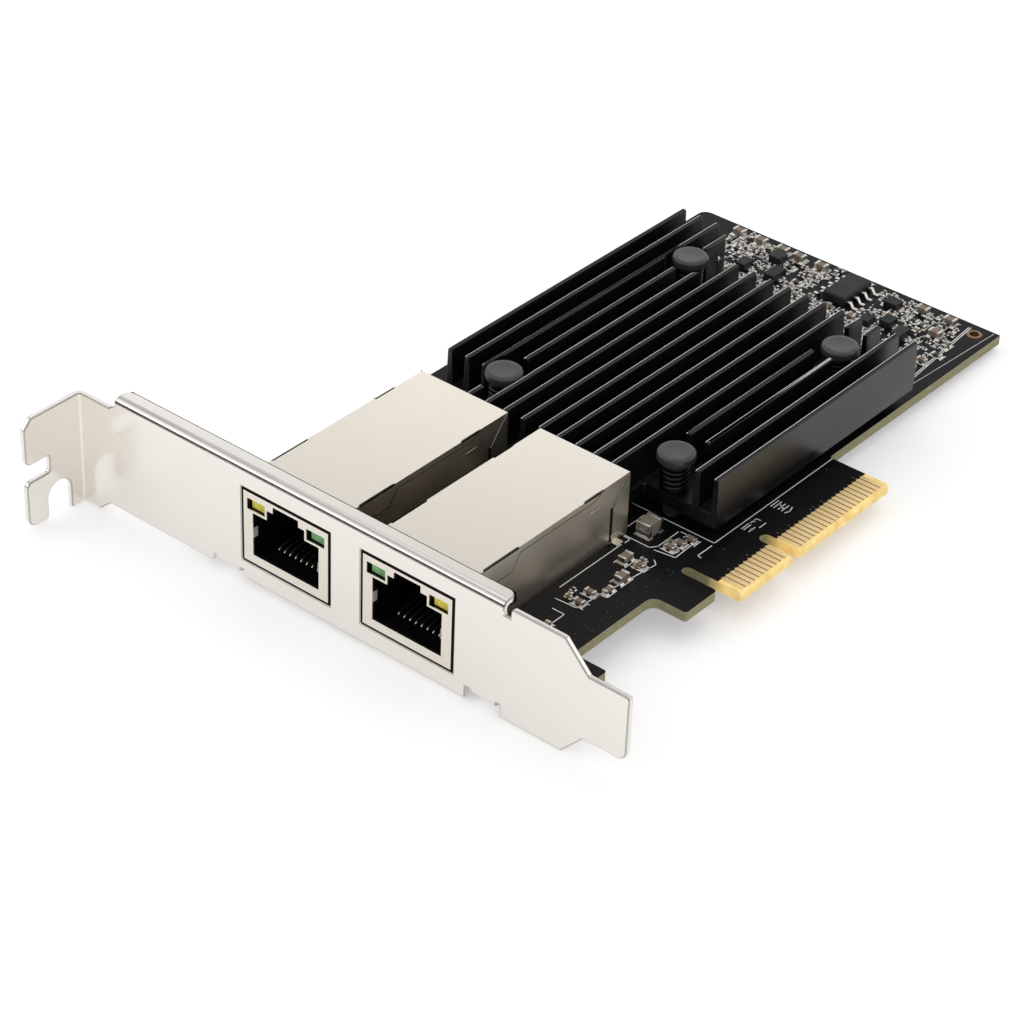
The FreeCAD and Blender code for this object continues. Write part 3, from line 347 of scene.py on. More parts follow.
# black for strips and bars put where only shade falls: painted shade
paintedShadeBlack = makePlastic("paintedShadeBlack", (0.004, 0.004, 0.004), 0.8, shine=0.1)
wireSilver = makeMetal("wireSilver", (0.55, 0.51, 0.44), 0.30, (0.1, 1, 1), 2400.0, 0.1)
print("finishes made")

# every frame node gets the finish of its own slot
slotOf = {entry["node"]: entry["material_slot"] for entry in frame["record"]["subparts"]}
for name, node in nodes.items():
    node.data.materials.clear()
    node.data.materials.append(finishes[slotOf[name]])


# Mesh helpers

def meshFrom(name, bm, finish):
    mesh = bpy.data.meshes.new(name)
    bm.to_mesh(mesh)
    bm.free()
    mesh.materials.append(finish)
    return mesh


def putInScene(name, data):
    thing = bpy.data.objects.new(name, data)
    bpy.context.scene.collection.objects.link(thing)
    return thing


def finishPiece(name, bm, finish, slotName=None, replaced=(), smooth=35, weighted=True):
    mesh = meshFrom(name, bm, finish)
    for face in mesh.polygons:
        face.use_smooth = True
    mesh.set_sharp_from_angle(angle=math.radians(smooth))
    piece = putInScene(name, mesh)
    if weighted:
        even = piece.modifiers.new("evenNormals", "WEIGHTED_NORMAL")
        even.keep_sharp = True
    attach(piece, "root")
    if replaced:
        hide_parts(*replaced)
    return piece


def weldedCopy(nodeName):
    bm = bmesh.new()
    bm.from_mesh(nodes[nodeName].data)
    bmesh.ops.remove_doubles(bm, verts=bm.verts, dist=weldDistance)
    return bm


def mergedCopy(nodeName):
    bm = weldedCopy(nodeName)
    bmesh.ops.dissolve_limit(bm, angle_limit=math.radians(1), verts=bm.verts, edges=bm.edges)
    return bm


def bevelEdges(bm, edges, width, segments, rim=-1):
    bmesh.ops.bevel(bm, geom=edges, offset=width * mm, offset_type="OFFSET", affect="EDGES",
                    segments=segments, profile=0.5, material=rim, clamp_overlap=False)


def isSharp(edge):
    return len(edge.link_faces) == 2 and edge.calc_face_angle(0) > math.radians(40)


def roundEdges(bm, width, segments=2, keep=None, rim=-1):
    sharp = [edge for edge in bm.edges if isSharp(edge) and (keep is None or keep(edge))]
    bevelEdges(bm, sharp, width, segments, rim)


def replacePiece(name, bm, nodeName, smooth=35, weighted=True):
    # a piece that stands in for a frame node, with the finish of the node's slot
    slotName = slotOf[nodeName]
    return finishPiece(name, bm, finishes[slotName], slotName, [nodeName], smooth, weighted)


def dressedCopy(nodeName, pieceName, width, segments=2):
    bm = mergedCopy(nodeName)
    roundEdges(bm, width, segments)
    replacePiece(pieceName, bm, nodeName)


def boxOf(nodeName):
    return [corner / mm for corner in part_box(nodeName)]


def span(points):
    # lowest and highest corner of the points
    return Vector([*map(min, *points)]), Vector([*map(max, *points)])


def boxesOf(nodeName):
    # lowest and highest corner of every separate solid in a node, in millimetres
    bm = weldedCopy(nodeName)
    seen = set()
    boxes = []
    for start in bm.verts:
        group = []
        stack = [start]
        while stack:
            vert = stack.pop()
            if vert not in seen:
                seen.add(vert)
                group.append(vert.co / mm)
                stack += [edge.other_vert(vert) for edge in vert.link_edges]
        if group:
            boxes.append(span(group))
    bm.free()
    return boxes


def movedTo(point):
    return Matrix.Translation(Vector(point) * mm)


def closeHoles(bm):
    bmesh.ops.holes_fill(bm, edges=[edge for edge in bm.edges if len(edge.link_faces) == 1])


def addBlock(bm, center, size, turn=0.0, axis="Z"):
    # a block round its own centre, in millimetres
    place = movedTo(center) @ Matrix.Rotation(turn, 4, axis)
    bmesh.ops.create_cube(bm, size=1.0, matrix=place @ Matrix.Diagonal((*(Vector(size) * mm), 1)))


def addBox(bm, a, b):
    # a block between two opposite corners
    low, high = span((a, b))
    addBlock(bm, (low + high) / 2, high - low)


def addBar(bm, a, b, width, low, high):
    # a flat bar on the board from point a to point b
    run = Vector((b[0] - a[0], b[1] - a[1], 0))
    middle = ((a[0] + b[0]) / 2, (a[1] + b[1]) / 2, (low + high) / 2)
    addBlock(bm, middle, (run.length + width, width, high - low), math.atan2(run.y, run.x))


def addTurned(bm, profile, center, steps, closed=False):
    # lathe shape from (radius, height) points: open between two points on the axis, or a closed ring
    verts = [bm.verts.new(Vector((center[0] + r, center[1], z)) * mm) for r, z in profile]
    pairs = list(zip(verts, verts[1:] + verts[:1] if closed else verts[1:]))
    edges = [bm.edges.new(pair) for pair in pairs]
    bmesh.ops.spin(bm, geom=verts + edges, cent=Vector((center[0], center[1], 0)) * mm, axis=(0, 0, 1),
                   angle=2 * math.pi, steps=steps, use_merge=True)
    if not closed:
        bmesh.ops.remove_doubles(bm, verts=bm.verts, dist=weldDistance)


def addDisc(bm, center, radius, low, high, steps):
    # low round pad with slanted sides
    place = movedTo((center[0], center[1], (low + high) / 2))
    bmesh.ops.create_cone(bm, cap_ends=True, segments=steps, radius1=radius * mm,
                          radius2=radius * 0.85 * mm, depth=(high - low) * mm, matrix=place)


def addFillet(bm, low, high, spread, rise, side):
    # solder that climbs from a wider foot on the board to the walls of a soldered end
    half = ((high.x - low.x) / 2, (high.y - low.y) / 2)
    place = movedTo(((low.x + high.x) / 2, (low.y + high.y) / 2, side * (boardHigh.z + rise / 2)))
    if side < 0:
        place = place @ Matrix.Rotation(math.pi, 4, "X")
    place = place @ Matrix.Diagonal(((half[0] + spread) * mm, (half[1] + spread) * mm, mm, 1))
    place = place @ Matrix.Rotation(math.pi / 4, 4, "Z")
    shrink = min(half) / (min(half) + spread)
    bmesh.ops.create_cone(bm, cap_ends=True, segments=4, radius1=math.sqrt(2),
                          radius2=math.sqrt(2) * shrink, depth=rise, matrix=place)


def footprintsOf(bodyName, endName):
    # whole plan of each soldered part: its body with its two nearest ends
    ends = boxesOf(endName)
    plans = []
    for low, high in boxesOf(bodyName):
        center = (low + high) / 2
        near = sorted(ends, key=lambda box: ((box[0] + box[1]) / 2 - center).length)[:2]
        plans.append((*span([low, high, *near[0], *near[1]]), near))
    return plans


boardLow, boardHigh = boxOf("board")
print("board from", [round(v, 2) for v in boardLow], "to", [round(v, 2) for v in boardHigh])

# Bracket with painted shade on its rounded rims, and its screws
bracketLook = {"edge": 0.20, "screwEdge": 0.1, "hollow": 0.6, "endShare": 0.02}
bm = mergedCopy("bracket")
hollowEdges = [tuple(vert.co.copy() for vert in edge.verts) for edge in bm.edges
               if isSharp(edge) and not edge.is_convex]
# the new rim faces take the darker nickel as painted shade; those along hollow folds keep the plain nickel
roundEdges(bm, bracketLook["edge"], 3, rim=1)
for face in bm.faces:
    if face.material_index == 1:
        center = face.calc_center_median()
        for a, b in hollowEdges:
            nearest, share = intersect_point_line(center, a, b)
            near = (nearest - center).length < bracketLook["hollow"] * mm
            if near and -bracketLook["endShare"] < share < 1 + bracketLook["endShare"]:
                face.material_index = 0
                break
plate = replacePiece("bracketPlate", bm, "bracket")
plate.data.materials.append(paintedRimShade)
dressedCopy("bracket_screws", "bracketScrews", bracketLook["screwEdge"])

# Painted shade: a thin black strip and rear line under the folded top, and a dark bar along the crease at
# its foot
foldShadeLook = {"foldAbove": 12.9, "high": 12.06, "low": 11.4, "deep": 1.0, "proud": 0.14, "inset": 0.4}
lineLook = {"inset": 0.5, "deep": 0.05, "proud": 0.10, "below": 0.12}
creaseLook = {"inset": 0.05, "front": -48.61, "back": -48.30, "low": 12.25, "high": 12.46}
foldLow, foldHigh = span([vert.co / mm for vert in nodes["bracket"].data.vertices
                          if vert.co.z > foldShadeLook["foldAbove"] * mm])
bm = bmesh.new()
addBox(bm, (foldLow.x + foldShadeLook["inset"], foldHigh.y - foldShadeLook["deep"], foldShadeLook["low"]),
       (foldHigh.x - foldShadeLook["inset"], foldHigh.y + foldShadeLook["proud"], foldShadeLook["high"]))
addBox(bm, (foldLow.x + lineLook["inset"], foldHigh.y - lineLook["deep"], foldShadeLook["high"]),
       (foldHigh.x - lineLook["inset"], foldHigh.y + lineLook["proud"], foldHigh.z - lineLook["below"]))
finishPiece("foldShadeStrip", bm, paintedShadeBlack)
bm = bmesh.new()
addBox(bm, (foldLow.x + creaseLook["inset"], creaseLook["front"], creaseLook["low"]),
       (foldHigh.x - creaseLook["inset"], creaseLook["back"], creaseLook["high"]))
finishPiece("foldCreaseShade", bm, paintedCreaseShade)
print("bracket dressed")

# Jacks
jackLook = {"shellEdge": 0.045, "housingEdge": 0.07, "wireEdge": 0.03, "leadEdge": 0.045, "wireShare": 0.55}
lensLook = {"recess": 0.45, "edge": 0.22, "inset": 0.40, "domeBack": 0.10, "dome": (0.85, 0.42, 0.62)}
gapShadeLook = {"noseHalf": 7.75, "noseLow": -2.245, "noseHigh": 9.155, "gap": 0.4, "front": -48.62,
              "back": -47.92, "slack": 0.01}
tabLook = {"openingHalf": 6.0, "sheet": 0.13, "behind": 0.02, "deep": 0.85, "low": 2.0, "high": 3.6,
           "edge": 0.03}
lidShadeLook = {"width": 0.11, "slits": ((6.0, 4.0), (24.0, 7.0)), "slitDown": 0.11, "slitHigh": 0.20,
            "deep": 0.06, "sunk": 0.02, "near": 0.02, "level": 0.05}


def addShadeLine(bm, a, b, width, outerX, side):
    # thin dark bar of painted shade along a line of an upright face
    run = b - a
    middle = (a + b) / 2
    middle.x = outerX - side * lidShadeLook["sunk"]
    addBlock(bm, middle, (lidShadeLook["deep"], run.length + width, width), math.atan2(run.z, run.y), "X")


for number in (1, 2):
    base = "jack_%d_" % number
    title = "jack%d" % number
    dressedCopy(base + "shell", title + "Shield", jackLook["shellEdge"])
    dressedCopy(base + "housing", title + "Insert", jackLook["housingEdge"])

    # plug wires are narrowed about their own middles
    bm = mergedCopy(base + "contacts")
    for low, high in boxesOf(base + "contacts"):
        middle = (low.x + high.x) / 2 * mm
        for vert in bm.verts:
            if low.x * mm - 1e-6 <= vert.co.x <= high.x * mm + 1e-6:
                vert.co.x = middle + (vert.co.x - middle) * jackLook["wireShare"]
    roundEdges(bm, jackLook["wireEdge"])
    finishPiece(title + "PlugWires", bm, wireSilver, None, [base + "contacts"])
    dressedCopy(base + "leads", title + "Leads", jackLook["leadEdge"])

    # recessed lenses, each with a low dome
    for side in ("left", "right"):
        low, high = boxOf(base + "light_" + side)
        frontY = low.y + lensLook["recess"]
        bm = bmesh.new()
        addBox(bm, (low.x + lensLook["inset"], frontY, low.z), high)
        front = [edge for edge in bm.edges if all(vert.co.y < (frontY + 0.01) * mm for vert in edge.verts)]
        bevelEdges(bm, front, lensLook["edge"], 4)
        place = movedTo(((low.x + high.x + lensLook["inset"]) / 2, frontY + lensLook["domeBack"],
                         (low.z + high.z) / 2))
        bmesh.ops.create_uvsphere(bm, u_segments=20, v_segments=14, radius=mm,
                                  matrix=place @ Matrix.Diagonal((*lensLook["dome"], 1)))
        replacePiece(title + "Light" + side.capitalize(), bm, base + "light_" + side, 50)

    # painted shade: a dark frame filling the gap between the jack's nose and the bracket
    low, high = boxOf(base + "shell")
    centerX = (low.x + high.x) / 2
    half, slack, gap = gapShadeLook["noseHalf"], gapShadeLook["slack"], gapShadeLook["gap"]
    inner, outer = half + slack, half + gap - slack
    bottom, top = gapShadeLook["noseLow"] - gap + slack, gapShadeLook["noseHigh"] + gap - slack
    bm = bmesh.new()
    for left, right, under, over in (
            (-outer, -inner, bottom, top), (inner, outer, bottom, top),
            (-half, half, bottom, gapShadeLook["noseLow"] - slack),
            (-half, half, gapShadeLook["noseHigh"] + slack, top)):
        addBox(bm, (centerX + left, gapShadeLook["front"], under), (centerX + right, gapShadeLook["back"], over))
    finishPiece(title + "GapShade", bm, paintedShadeBlack)

    # spring tabs on the opening's walls, in a pale plain finish that paints in the metal's bright reflection
    bm = bmesh.new()
    for side in (-1, 1):
        wall = centerX + side * tabLook["openingHalf"]
        inner = wall - side * tabLook["sheet"]
        addBox(bm, (wall, low.y + tabLook["behind"], tabLook["low"]),
               (inner, low.y + tabLook["deep"], tabLook["high"]))
    roundEdges(bm, tabLook["edge"])
    finishPiece(title + "WallTabs", bm, tabPaintedSheen)

    # painted shade: dark bars below the folded lid and in its slits, on both upright sides
    lidShade = bmesh.new()
    shellMesh = mergedCopy(base + "shell")
    lidSides = [vert.co.x / mm for vert in shellMesh.verts if vert.co.z > (high.z - lidShadeLook["level"]) * mm]
    for side in (-1, 1):
        outerX = max(lidSides) if side > 0 else min(lidSides)
        for face in shellMesh.faces:
            away = abs(face.calc_center_median().x / mm - outerX)
            if face.normal.x * side < 0.99 or away > lidShadeLook["near"]:
                continue
            for edge in face.edges:
                a, b = (vert.co / mm for vert in edge.verts)
                if max(a.z, b.z) < high.z - 0.1 or abs(a.z - b.z) > lidShadeLook["level"]:
                    addShadeLine(lidShade, a, b, lidShadeLook["width"], outerX, side)
        level = high.z - lidShadeLook["slitDown"]
        for rear, length in lidShadeLook["slits"]:
            a, b = (Vector((outerX, high.y - rear - shift, level)) for shift in (length, 0))
            addShadeLine(lidShade, a, b, lidShadeLook["slitHigh"], outerX, side)
    shellMesh.free()
    finishPiece(title + "LidShadeLines", lidShade, paintedShadeBlack)
print("jacks dressed")

# Cooler
coolerLook = {"edge": 0.08, "tipEdge": 0.26}
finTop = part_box("heat_sink")[1].z
bm = mergedCopy("heat_sink")
roundEdges(bm, coolerLook["tipEdge"], 3,
           keep=lambda edge: all(vert.co.z > finTop - 0.05 * mm for vert in edge.verts))
roundEdges(bm, coolerLook["edge"])
replacePiece("coolerFins", bm, "heat_sink")
print("cooler dressed")

# Push pins and springs
pinLook = {"headRadius": 2.8, "rim": 0.45, "headHeight": 1.5, "neckRadius": 2.2, "neckHeight": 0.55,
           "neckEdge": 0.15, "shaftRadius": 1.15, "cut": 5.0, "overlap": 0.5, "footEdge": 0.08,
           "rimSteps": 5, "dish": 0.03, "dishWidth": 0.5, "steps": 40}
springLook = {"wire": 0.30, "turns": 5, "stepsPerTurn": 26, "wireSteps": 10}
for number in (1, 2, 3, 4):
    low, high = boxOf("push_pin_%d" % number)
    center = (low + high) / 2
    top = high.z

    # the foot is kept from the frame, the head is turned anew above the cut
    bm = mergedCopy("push_pin_%d" % number)
    bmesh.ops.bisect_plane(bm, geom=bm.verts[:] + bm.edges[:] + bm.faces[:],
                           plane_co=(0, 0, pinLook["cut"] * mm), plane_no=(0, 0, 1), clear_outer=True)
    closeHoles(bm)
    roundEdges(bm, pinLook["footEdge"])
    head, rim, shaft = pinLook["headRadius"], pinLook["rim"], pinLook["shaftRadius"]
    neck, neckEdge = pinLook["neckRadius"], pinLook["neckEdge"]
    start = pinLook["cut"] - pinLook["overlap"]
    under = top - pinLook["headHeight"]
    shoulder = under - pinLook["neckHeight"]
    profile = [(0, start), (shaft, start), (shaft, shoulder), (neck - neckEdge, shoulder),
               (neck, shoulder + neckEdge), (neck, under), (head - rim * 0.5, under),
               (head - rim * 0.12, under + rim * 0.35), (head, under + rim * 0.8)]
    for step in range(pinLook["rimSteps"] + 1):
        turn = step / pinLook["rimSteps"] * math.pi / 2
        profile.append((head - rim + rim * math.cos(turn), top - rim + rim * math.sin(turn)))
    profile += [(head - rim - pinLook["dishWidth"], top - pinLook["dish"]), (0, top - 0.05)]
    addTurned(bm, profile, (center.x, center.y), pinLook["steps"])
    bmesh.ops.recalc_face_normals(bm, faces=bm.faces)
    replacePiece("pushPin%d" % number, bm, "push_pin_%d" % number, 40)

    # one round wire swept up in turns
    low, high = boxOf("push_pin_spring_%d" % number)
    wire = springLook["wire"]
    radius = (high.x - low.x) / 2 - wire
    bm = bmesh.new()
    start = movedTo((center.x + radius, center.y, low.z + wire))
    ring = bmesh.ops.create_circle(bm, cap_ends=False, segments=springLook["wireSteps"], radius=wire * mm,
                                   matrix=start @ Matrix.Rotation(math.pi / 2, 4, "X"))["verts"]
    ringEdges = list({edge for vert in ring for edge in vert.link_edges})
    steps = springLook["turns"] * springLook["stepsPerTurn"]
    rise = (high.z - low.z - 2 * wire) / steps
    bmesh.ops.spin(bm, geom=ring + ringEdges, cent=Vector((center.x, center.y, 0)) * mm, axis=(0, 0, 1),
                   dvec=(0, 0, rise * mm), angle=2 * math.pi * springLook["turns"], steps=steps,
                   use_merge=False)
    closeHoles(bm)
    bmesh.ops.recalc_face_normals(bm, faces=bm.faces)
    replacePiece("pinSpring%d" % number, bm, "push_pin_spring_%d" % number, 60, False)
print("push pins and springs made")

# Chips and small parts: frame node, piece, edge width and bevel segments
for nodeName, pieceName, width, segments in (
        ("flash_chip", "memoryChip", 0.10, 2), ("flash_chip_leads", "memoryChipLegs", 0.05, 2),
        ("regulator_chips", "smallChips", 0.07, 2), ("regulator_leads", "smallChipLegs", 0.05, 2),
        ("crystal", "clockCrystal", 0.12, 3), ("tall_capacitor", "tallCapacitorBody", 0.12, 2),
        ("tall_capacitor_ends", "tallCapacitorEnds", 0.12, 2),
        ("large_capacitors", "largeCapacitorBodies", 0.09, 2),
        ("large_capacitor_ends", "largeCapacitorEnds", 0.07, 2),
        ("small_capacitors", "smallCapacitorBodies", 0.09, 2),
        ("small_capacitor_ends", "smallCapacitorEnds", 0.07, 2),
        ("resistors", "resistorBodies", 0.05, 1), ("resistor_ends", "resistorEnds", 0.06, 2),
        ("controller_chip", "controllerChip", 0.06, 2), ("thermal_pad", "thermalPad", 0.08, 2)):
    dressedCopy(nodeName, pieceName, width, segments)
print("small parts dressed")

# Gold pads on both faces of the connector, with the short tracks that leave them
padLook = {"widen": 0.05, "trackWidth": 0.14, "trackLength": 0.16, "trackHigh": 0.02}


def levels(side, high, sunk=0.01):
    # lowest and highest height of a thin layer on the upper or the lower face of the board
    return sorted((side * (boardHigh.z - sunk), side * (boardHigh.z + high)))


for word, side in (("top", 1), ("bottom", -1)):
    bm = bmesh.new()
    for low, high in boxesOf("edge_contacts_" + word):
        addBox(bm, (low.x, low.y - padLook["widen"], low.z), (high.x, high.y + padLook["widen"], high.z))
        middle = (low.y + high.y) / 2
        addBar(bm, (low.x - padLook["trackLength"], middle), (low.x, middle), padLook["trackWidth"],
               *levels(side, padLook["trackHigh"]))
    replacePiece("edgePads" + word.capitalize(), bm, "edge_contacts_" + word)
print("edge pads made")

# Solder under every small part, and plain printed outlines round them
pinSpots = ((-49.85, -3.6), (-49.85, 40.5), (-19.0, -3.4), (-18.3, 34.9))
jackCenters = (-50.25, -28.5)
toolingSpot = (-13.5, 65.35)
boardLook = {"silkWidth": 0.15, "thinWidth": 0.08, "underWidth": 0.16, "silkHigh": 0.018,
             "spread": 0.16, "outlineGap": 0.30,
             "legSpread": 0.10, "legRise": 0.12, "legFoot": 0.2,
             "rises": {"small_capacitor": 0.26, "large_capacitor": 0.364, "tall_capacitor": 0.416,
                       "resistor": 0.14}}
rng = random.Random(11)
silk = bmesh.new()
solder = bmesh.new()
blocked = []


def addSilk(points, width=boardLook["silkWidth"], side=1):
    for a, b in zip(points, points[1:]):
        addBar(silk, a, b, width, *levels(side, boardLook["silkHigh"]))


def addOutline(low, high, style, side):
    gap = boardLook["outlineGap"]
    left, right, front, rear = low.x - gap, high.x + gap, low.y - gap, high.y + gap
    middle = (front + rear) / 2
    lines = (([(left, front), (left, rear)], [(right, front), (right, rear)]),
             ([(left, front), (right, front)], [(left, rear), (right, rear)]),
             ([(left, middle), (left, rear), (right, rear), (right, front), (left, front)],))
    for line in lines[style]:
        addSilk(line, side=side)


for bodyName, rise in boardLook["rises"].items():
    isTall = bodyName == "tall_capacitor"
    for low, high, ends in footprintsOf(bodyName if isTall else bodyName + "s", bodyName + "_ends"):
        side = 1 if low.z > 0 else -1
        for endLow, endHigh in ends:
            addFillet(solder, endLow, endHigh, boardLook["spread"], rise, side)
        if not isTall:
            addOutline(low, high, rng.choice((0, 1, 2, 2)), side)
        if side > 0:
            blocked.append((low.x, low.y, high.x, high.y))
for name in ("flash_chip", "flash_chip_leads", "regulator_chips", "regulator_leads", "crystal"):
    for low, high in boxesOf(name):
        blocked.append((low.x, low.y, high.x, high.y))
        if name == "regulator_leads":
            foot = Vector((high.x, high.y, low.z + boardLook["legFoot"]))
            addFillet(solder, low, foot, boardLook["legSpread"], boardLook["legRise"], 1)

# Tiny soldered chips fill the rear field, as in the photo
fieldLook = {"areas": [(-59.2, -51.4, 52.6, 66.4), (-51.4, -14.6, 44.6, 66.4)], "tries": 2600, "most": 190,
             "clear": 0.17, "solder": 0.12, "climb": 0.45, "endShare": 0.24, "bodyBelow": 0.03,
             "kinds": [(1.0, 0.5, 0.35), (1.0, 0.5, 0.5), (0.6, 0.32, 0.24), (1.5, 0.8, 0.6)],
             "holeClear": 2.6, "darkShare": 0.35, "outlineShare": 0.7, "bareCorner": (-16.5, 62.0),
             "handSize": (1.0, 0.5, 0.45), "endEdge": 0.05, "marks": 170, "markWidth": 0.12}
tinyBrown = bmesh.new()
tinyDark = bmesh.new()
tinyEnds = bmesh.new()


def addTiny(x, y, size, alongX, dark):
    length, width, height = size
    half = Vector((length / 2, width / 2, 0)) if alongX else Vector((width / 2, length / 2, 0))
    center = Vector((x, y, boardHigh.z))
    low, high = center - half, center + half + Vector((0, 0, height))
    end = length * fieldLook["endShare"]
    axis = 0 if alongX else 1
    firstHigh, secondLow = high.copy(), low.copy()
    firstHigh[axis] = low[axis] + end
    secondLow[axis] = high[axis] - end
    shift = Vector((end, 0, 0)) if alongX else Vector((0, end, 0))
    below = Vector((0, 0, fieldLook["bodyBelow"]))
    addBox(tinyDark if dark else tinyBrown, low + shift, high - shift - below)
    for a, b in ((low, firstHigh), (secondLow, high)):
        addBox(tinyEnds, a, b)
        addFillet(solder, a, b, fieldLook["solder"], height * fieldLook["climb"], 1)
    blocked.append((low.x, low.y, high.x, high.y))
    return low, high


def isFree(x, y, half):
    reach = fieldLook["clear"] + fieldLook["solder"]
    if math.hypot(x - toolingSpot[0], y - toolingSpot[1]) <= fieldLook["holeClear"]:
        return False
    return all(x + half[0] + reach < box[0] or x - half[0] - reach > box[2]
               or y + half[1] + reach < box[1] or y - half[1] - reach > box[3] for box in blocked)


def randomArea():
    # the wider area is drawn more often
    return rng.choice(fieldLook["areas"] + fieldLook["areas"][1:] * 3)


placed = 0
for attempt in range(fieldLook["tries"]):
    left, right, front, rear = randomArea()
    x, y = rng.uniform(left, right), rng.uniform(front, rear)
    size = rng.choice(fieldLook["kinds"])
    alongX = rng.random() < 0.5
    half = (size[0] / 2, size[1] / 2) if alongX else (size[1] / 2, size[0] / 2)
    inCorner = x > fieldLook["bareCorner"][0] and y > fieldLook["bareCorner"][1]
    if isFree(x, y, half) and placed < fieldLook["most"]:
        low, high = addTiny(x, y, size, alongX, rng.random() < fieldLook["darkShare"])
        placed += 1
        if rng.random() < fieldLook["outlineShare"] and not inCorner:
            addOutline(low, high, rng.choice((0, 1, 2)), 1)

# nine more beside the second jack
for x, y, alongX, dark in (
        (-14.2, -17.6, True, False), (-14.9, -20.6, True, True), (-15.6, -26.4, True, False),
        (-17.4, -27.6, False, True), (-16.9, -29.0, True, False), (-14.6, -15.6, True, False),
        (-13.5, -8.2, False, True), (-14.4, -9.6, True, False), (-12.9, -10.8, True, True)):
    addTiny(x, y, fieldLook["handSize"], alongX, dark)

# short printed marks between them, but none beside the memory chip or the hole
for attempt in range(fieldLook["marks"]):
    left, right, front, rear = randomArea()
    length = rng.uniform(0.5, 1.9)
    x, y = rng.uniform(left, right - length), rng.uniform(front, rear - length)
    besideChip = -40.5 < x < -28.5 and y > 55.0
    nearHole = x > -17.0 and y > 60.0
    if besideChip or nearHole:
        continue
    if rng.random() < 0.5:
        line = [(x, y), (x + length, y)]
    else:
        line = [(x, y), (x, y + length), (x + rng.choice((-1, 1)) * length * 0.4, y + length)]
    addSilk(line, fieldLook["markWidth"])
roundEdges(tinyEnds, fieldLook["endEdge"], 1)
for name, bm, slotName in (("tinyChipsBrown", tinyBrown, "ceramic_brown"),
                           ("tinyChipsDark", tinyDark, "resistor_black"),
                           ("tinyChipEnds", tinyEnds, "tinned_cap")):
    finishPiece(name, bm, finishes[slotName], slotName)
print("tiny chips placed:", placed)

# Plain printed lines, on the upper face and then on the lower
upperLines = [
    [(-9.9, 22.45), (-9.9, -5.75), (-24.2, -5.75)], [(-9.8, -6.5), (-9.83, -9.64), (-9.2, -9.75)],
    [(-21.2, -7.0), (-21.2, -11.6), (-20.4, -12.6), (-15.9, -12.6), (-15.2, -11.6), (-15.2, -7.0)],
    [(-14.9, -6.7), (-12.0, -6.7), (-11.8, -12.1), (-15.0, -12.6)],
    [(-13.6, -14.5), (-12.76, -15.2), (-14.6, -30.2), (-18.0, -30.4)],
    [(-20.1, -12.9), (-19.06, -12.9), (-19.06, -14.0)], [(-13.43, 48.9), (-14.9, 66.6)],
    [(-13.75, 48.9), (-15.2, 66.4)], [(-7.0, 6.8), (-6.7, 7.6), (-7.0, 8.6)],
    [(-9.1, 1.6), (-9.1, 3.0), (-8.4, 3.0)], [(-16.9, -32.4), (-14.9, -32.4), (-14.9, -35.6)],
]
upperLines += [[(x, front), (x, rear)] for x, front, rear in (
    (-9.4, 6.8, 8.7), (-8.9, 6.8, 8.7), (-8.2, 6.9, 8.6), (-7.6, 6.9, 8.6), (-9.2, -0.4, 1.2),
    (-8.8, -0.4, 1.2), (-8.0, -0.3, 1.1), (-7.5, 1.5, 3.0), (-19.2, -28.0, -14.7))]
for line in upperLines:
    addSilk(line)
addSilk([(-12.65, 45.9), (-11.3, 67.4)], boardLook["thinWidth"])
underLines = [[(-45.4, 5.0), (-45.4, 8.0)], [(-45.4, 5.0), (-42.4, 5.0)], [(-24.0, 31.6), (-21.0, 31.6)],
              [(-21.0, 31.6), (-21.0, 28.6)]]
for left, right, front, rear in ((-52.6, -15.8, -7.6, 44.2), (-62.0, -59.0, -10.6, 1.6),
                                 (-29.6, -18.4, 48.6, 51.4), (-59.6, -52.6, 56.6, 59.4)):
    underLines.append([(left, front), (left, rear), (right, rear), (right, front), (left, front)])
for line in underLines:
    addSilk(line, boardLook["underWidth"], -1)
finishPiece("boardLines", silk, silkInk, weighted=False)

# Solder dots, joints of the jack leads and round test points
dotLook = {"dots": 120, "dotHigh": 0.035, "markRadius": 0.22, "markHigh": 0.05, "jointSpread": 0.22,
           "jointHigh": 0.22, "pointRadius": 0.55, "pointHigh": 0.035, "sunk": 0.01}
for x, y in ((-8.1, 0.4), (-9.0, 2.3), (-7.9, 7.6), (-8.6, 8.0)):
    addDisc(solder, (x, y), dotLook["markRadius"], *levels(1, dotLook["markHigh"]), 8)
for attempt in range(dotLook["dots"]):
    left, right, front, rear = rng.choice(fieldLook["areas"])
    spot = (rng.uniform(left, right), rng.uniform(front, rear))
    addDisc(solder, spot, rng.uniform(0.12, 0.26), *levels(1, dotLook["dotHigh"]), 8)
for number in (1, 2):
    for low, high in boxesOf("jack_%d_leads" % number):
        if low.z < boardLow.z:
            spot = ((low.x + high.x) / 2, (low.y + high.y) / 2)
            addDisc(solder, spot, (high.x - low.x) / 2 + dotLook["jointSpread"],
                    boardLow.z - dotLook["jointHigh"], boardLow.z + dotLook["sunk"], 12)
for x, y in ((-60.5, -9.0), (-60.5, -6.0), (-60.5, -3.0), (-60.5, 0.0), (-20.0, 50.0), (-24.0, 50.0),
             (-28.0, 50.0), (-58.0, 58.0), (-54.0, 58.0)):
    addDisc(solder, (x, y), dotLook["pointRadius"], boardLow.z - dotLook["pointHigh"],
            boardLow.z + dotLook["sunk"], 16)
finishPiece("solderJoints", solder, finishes["tinned_lead"], "tinned_lead")

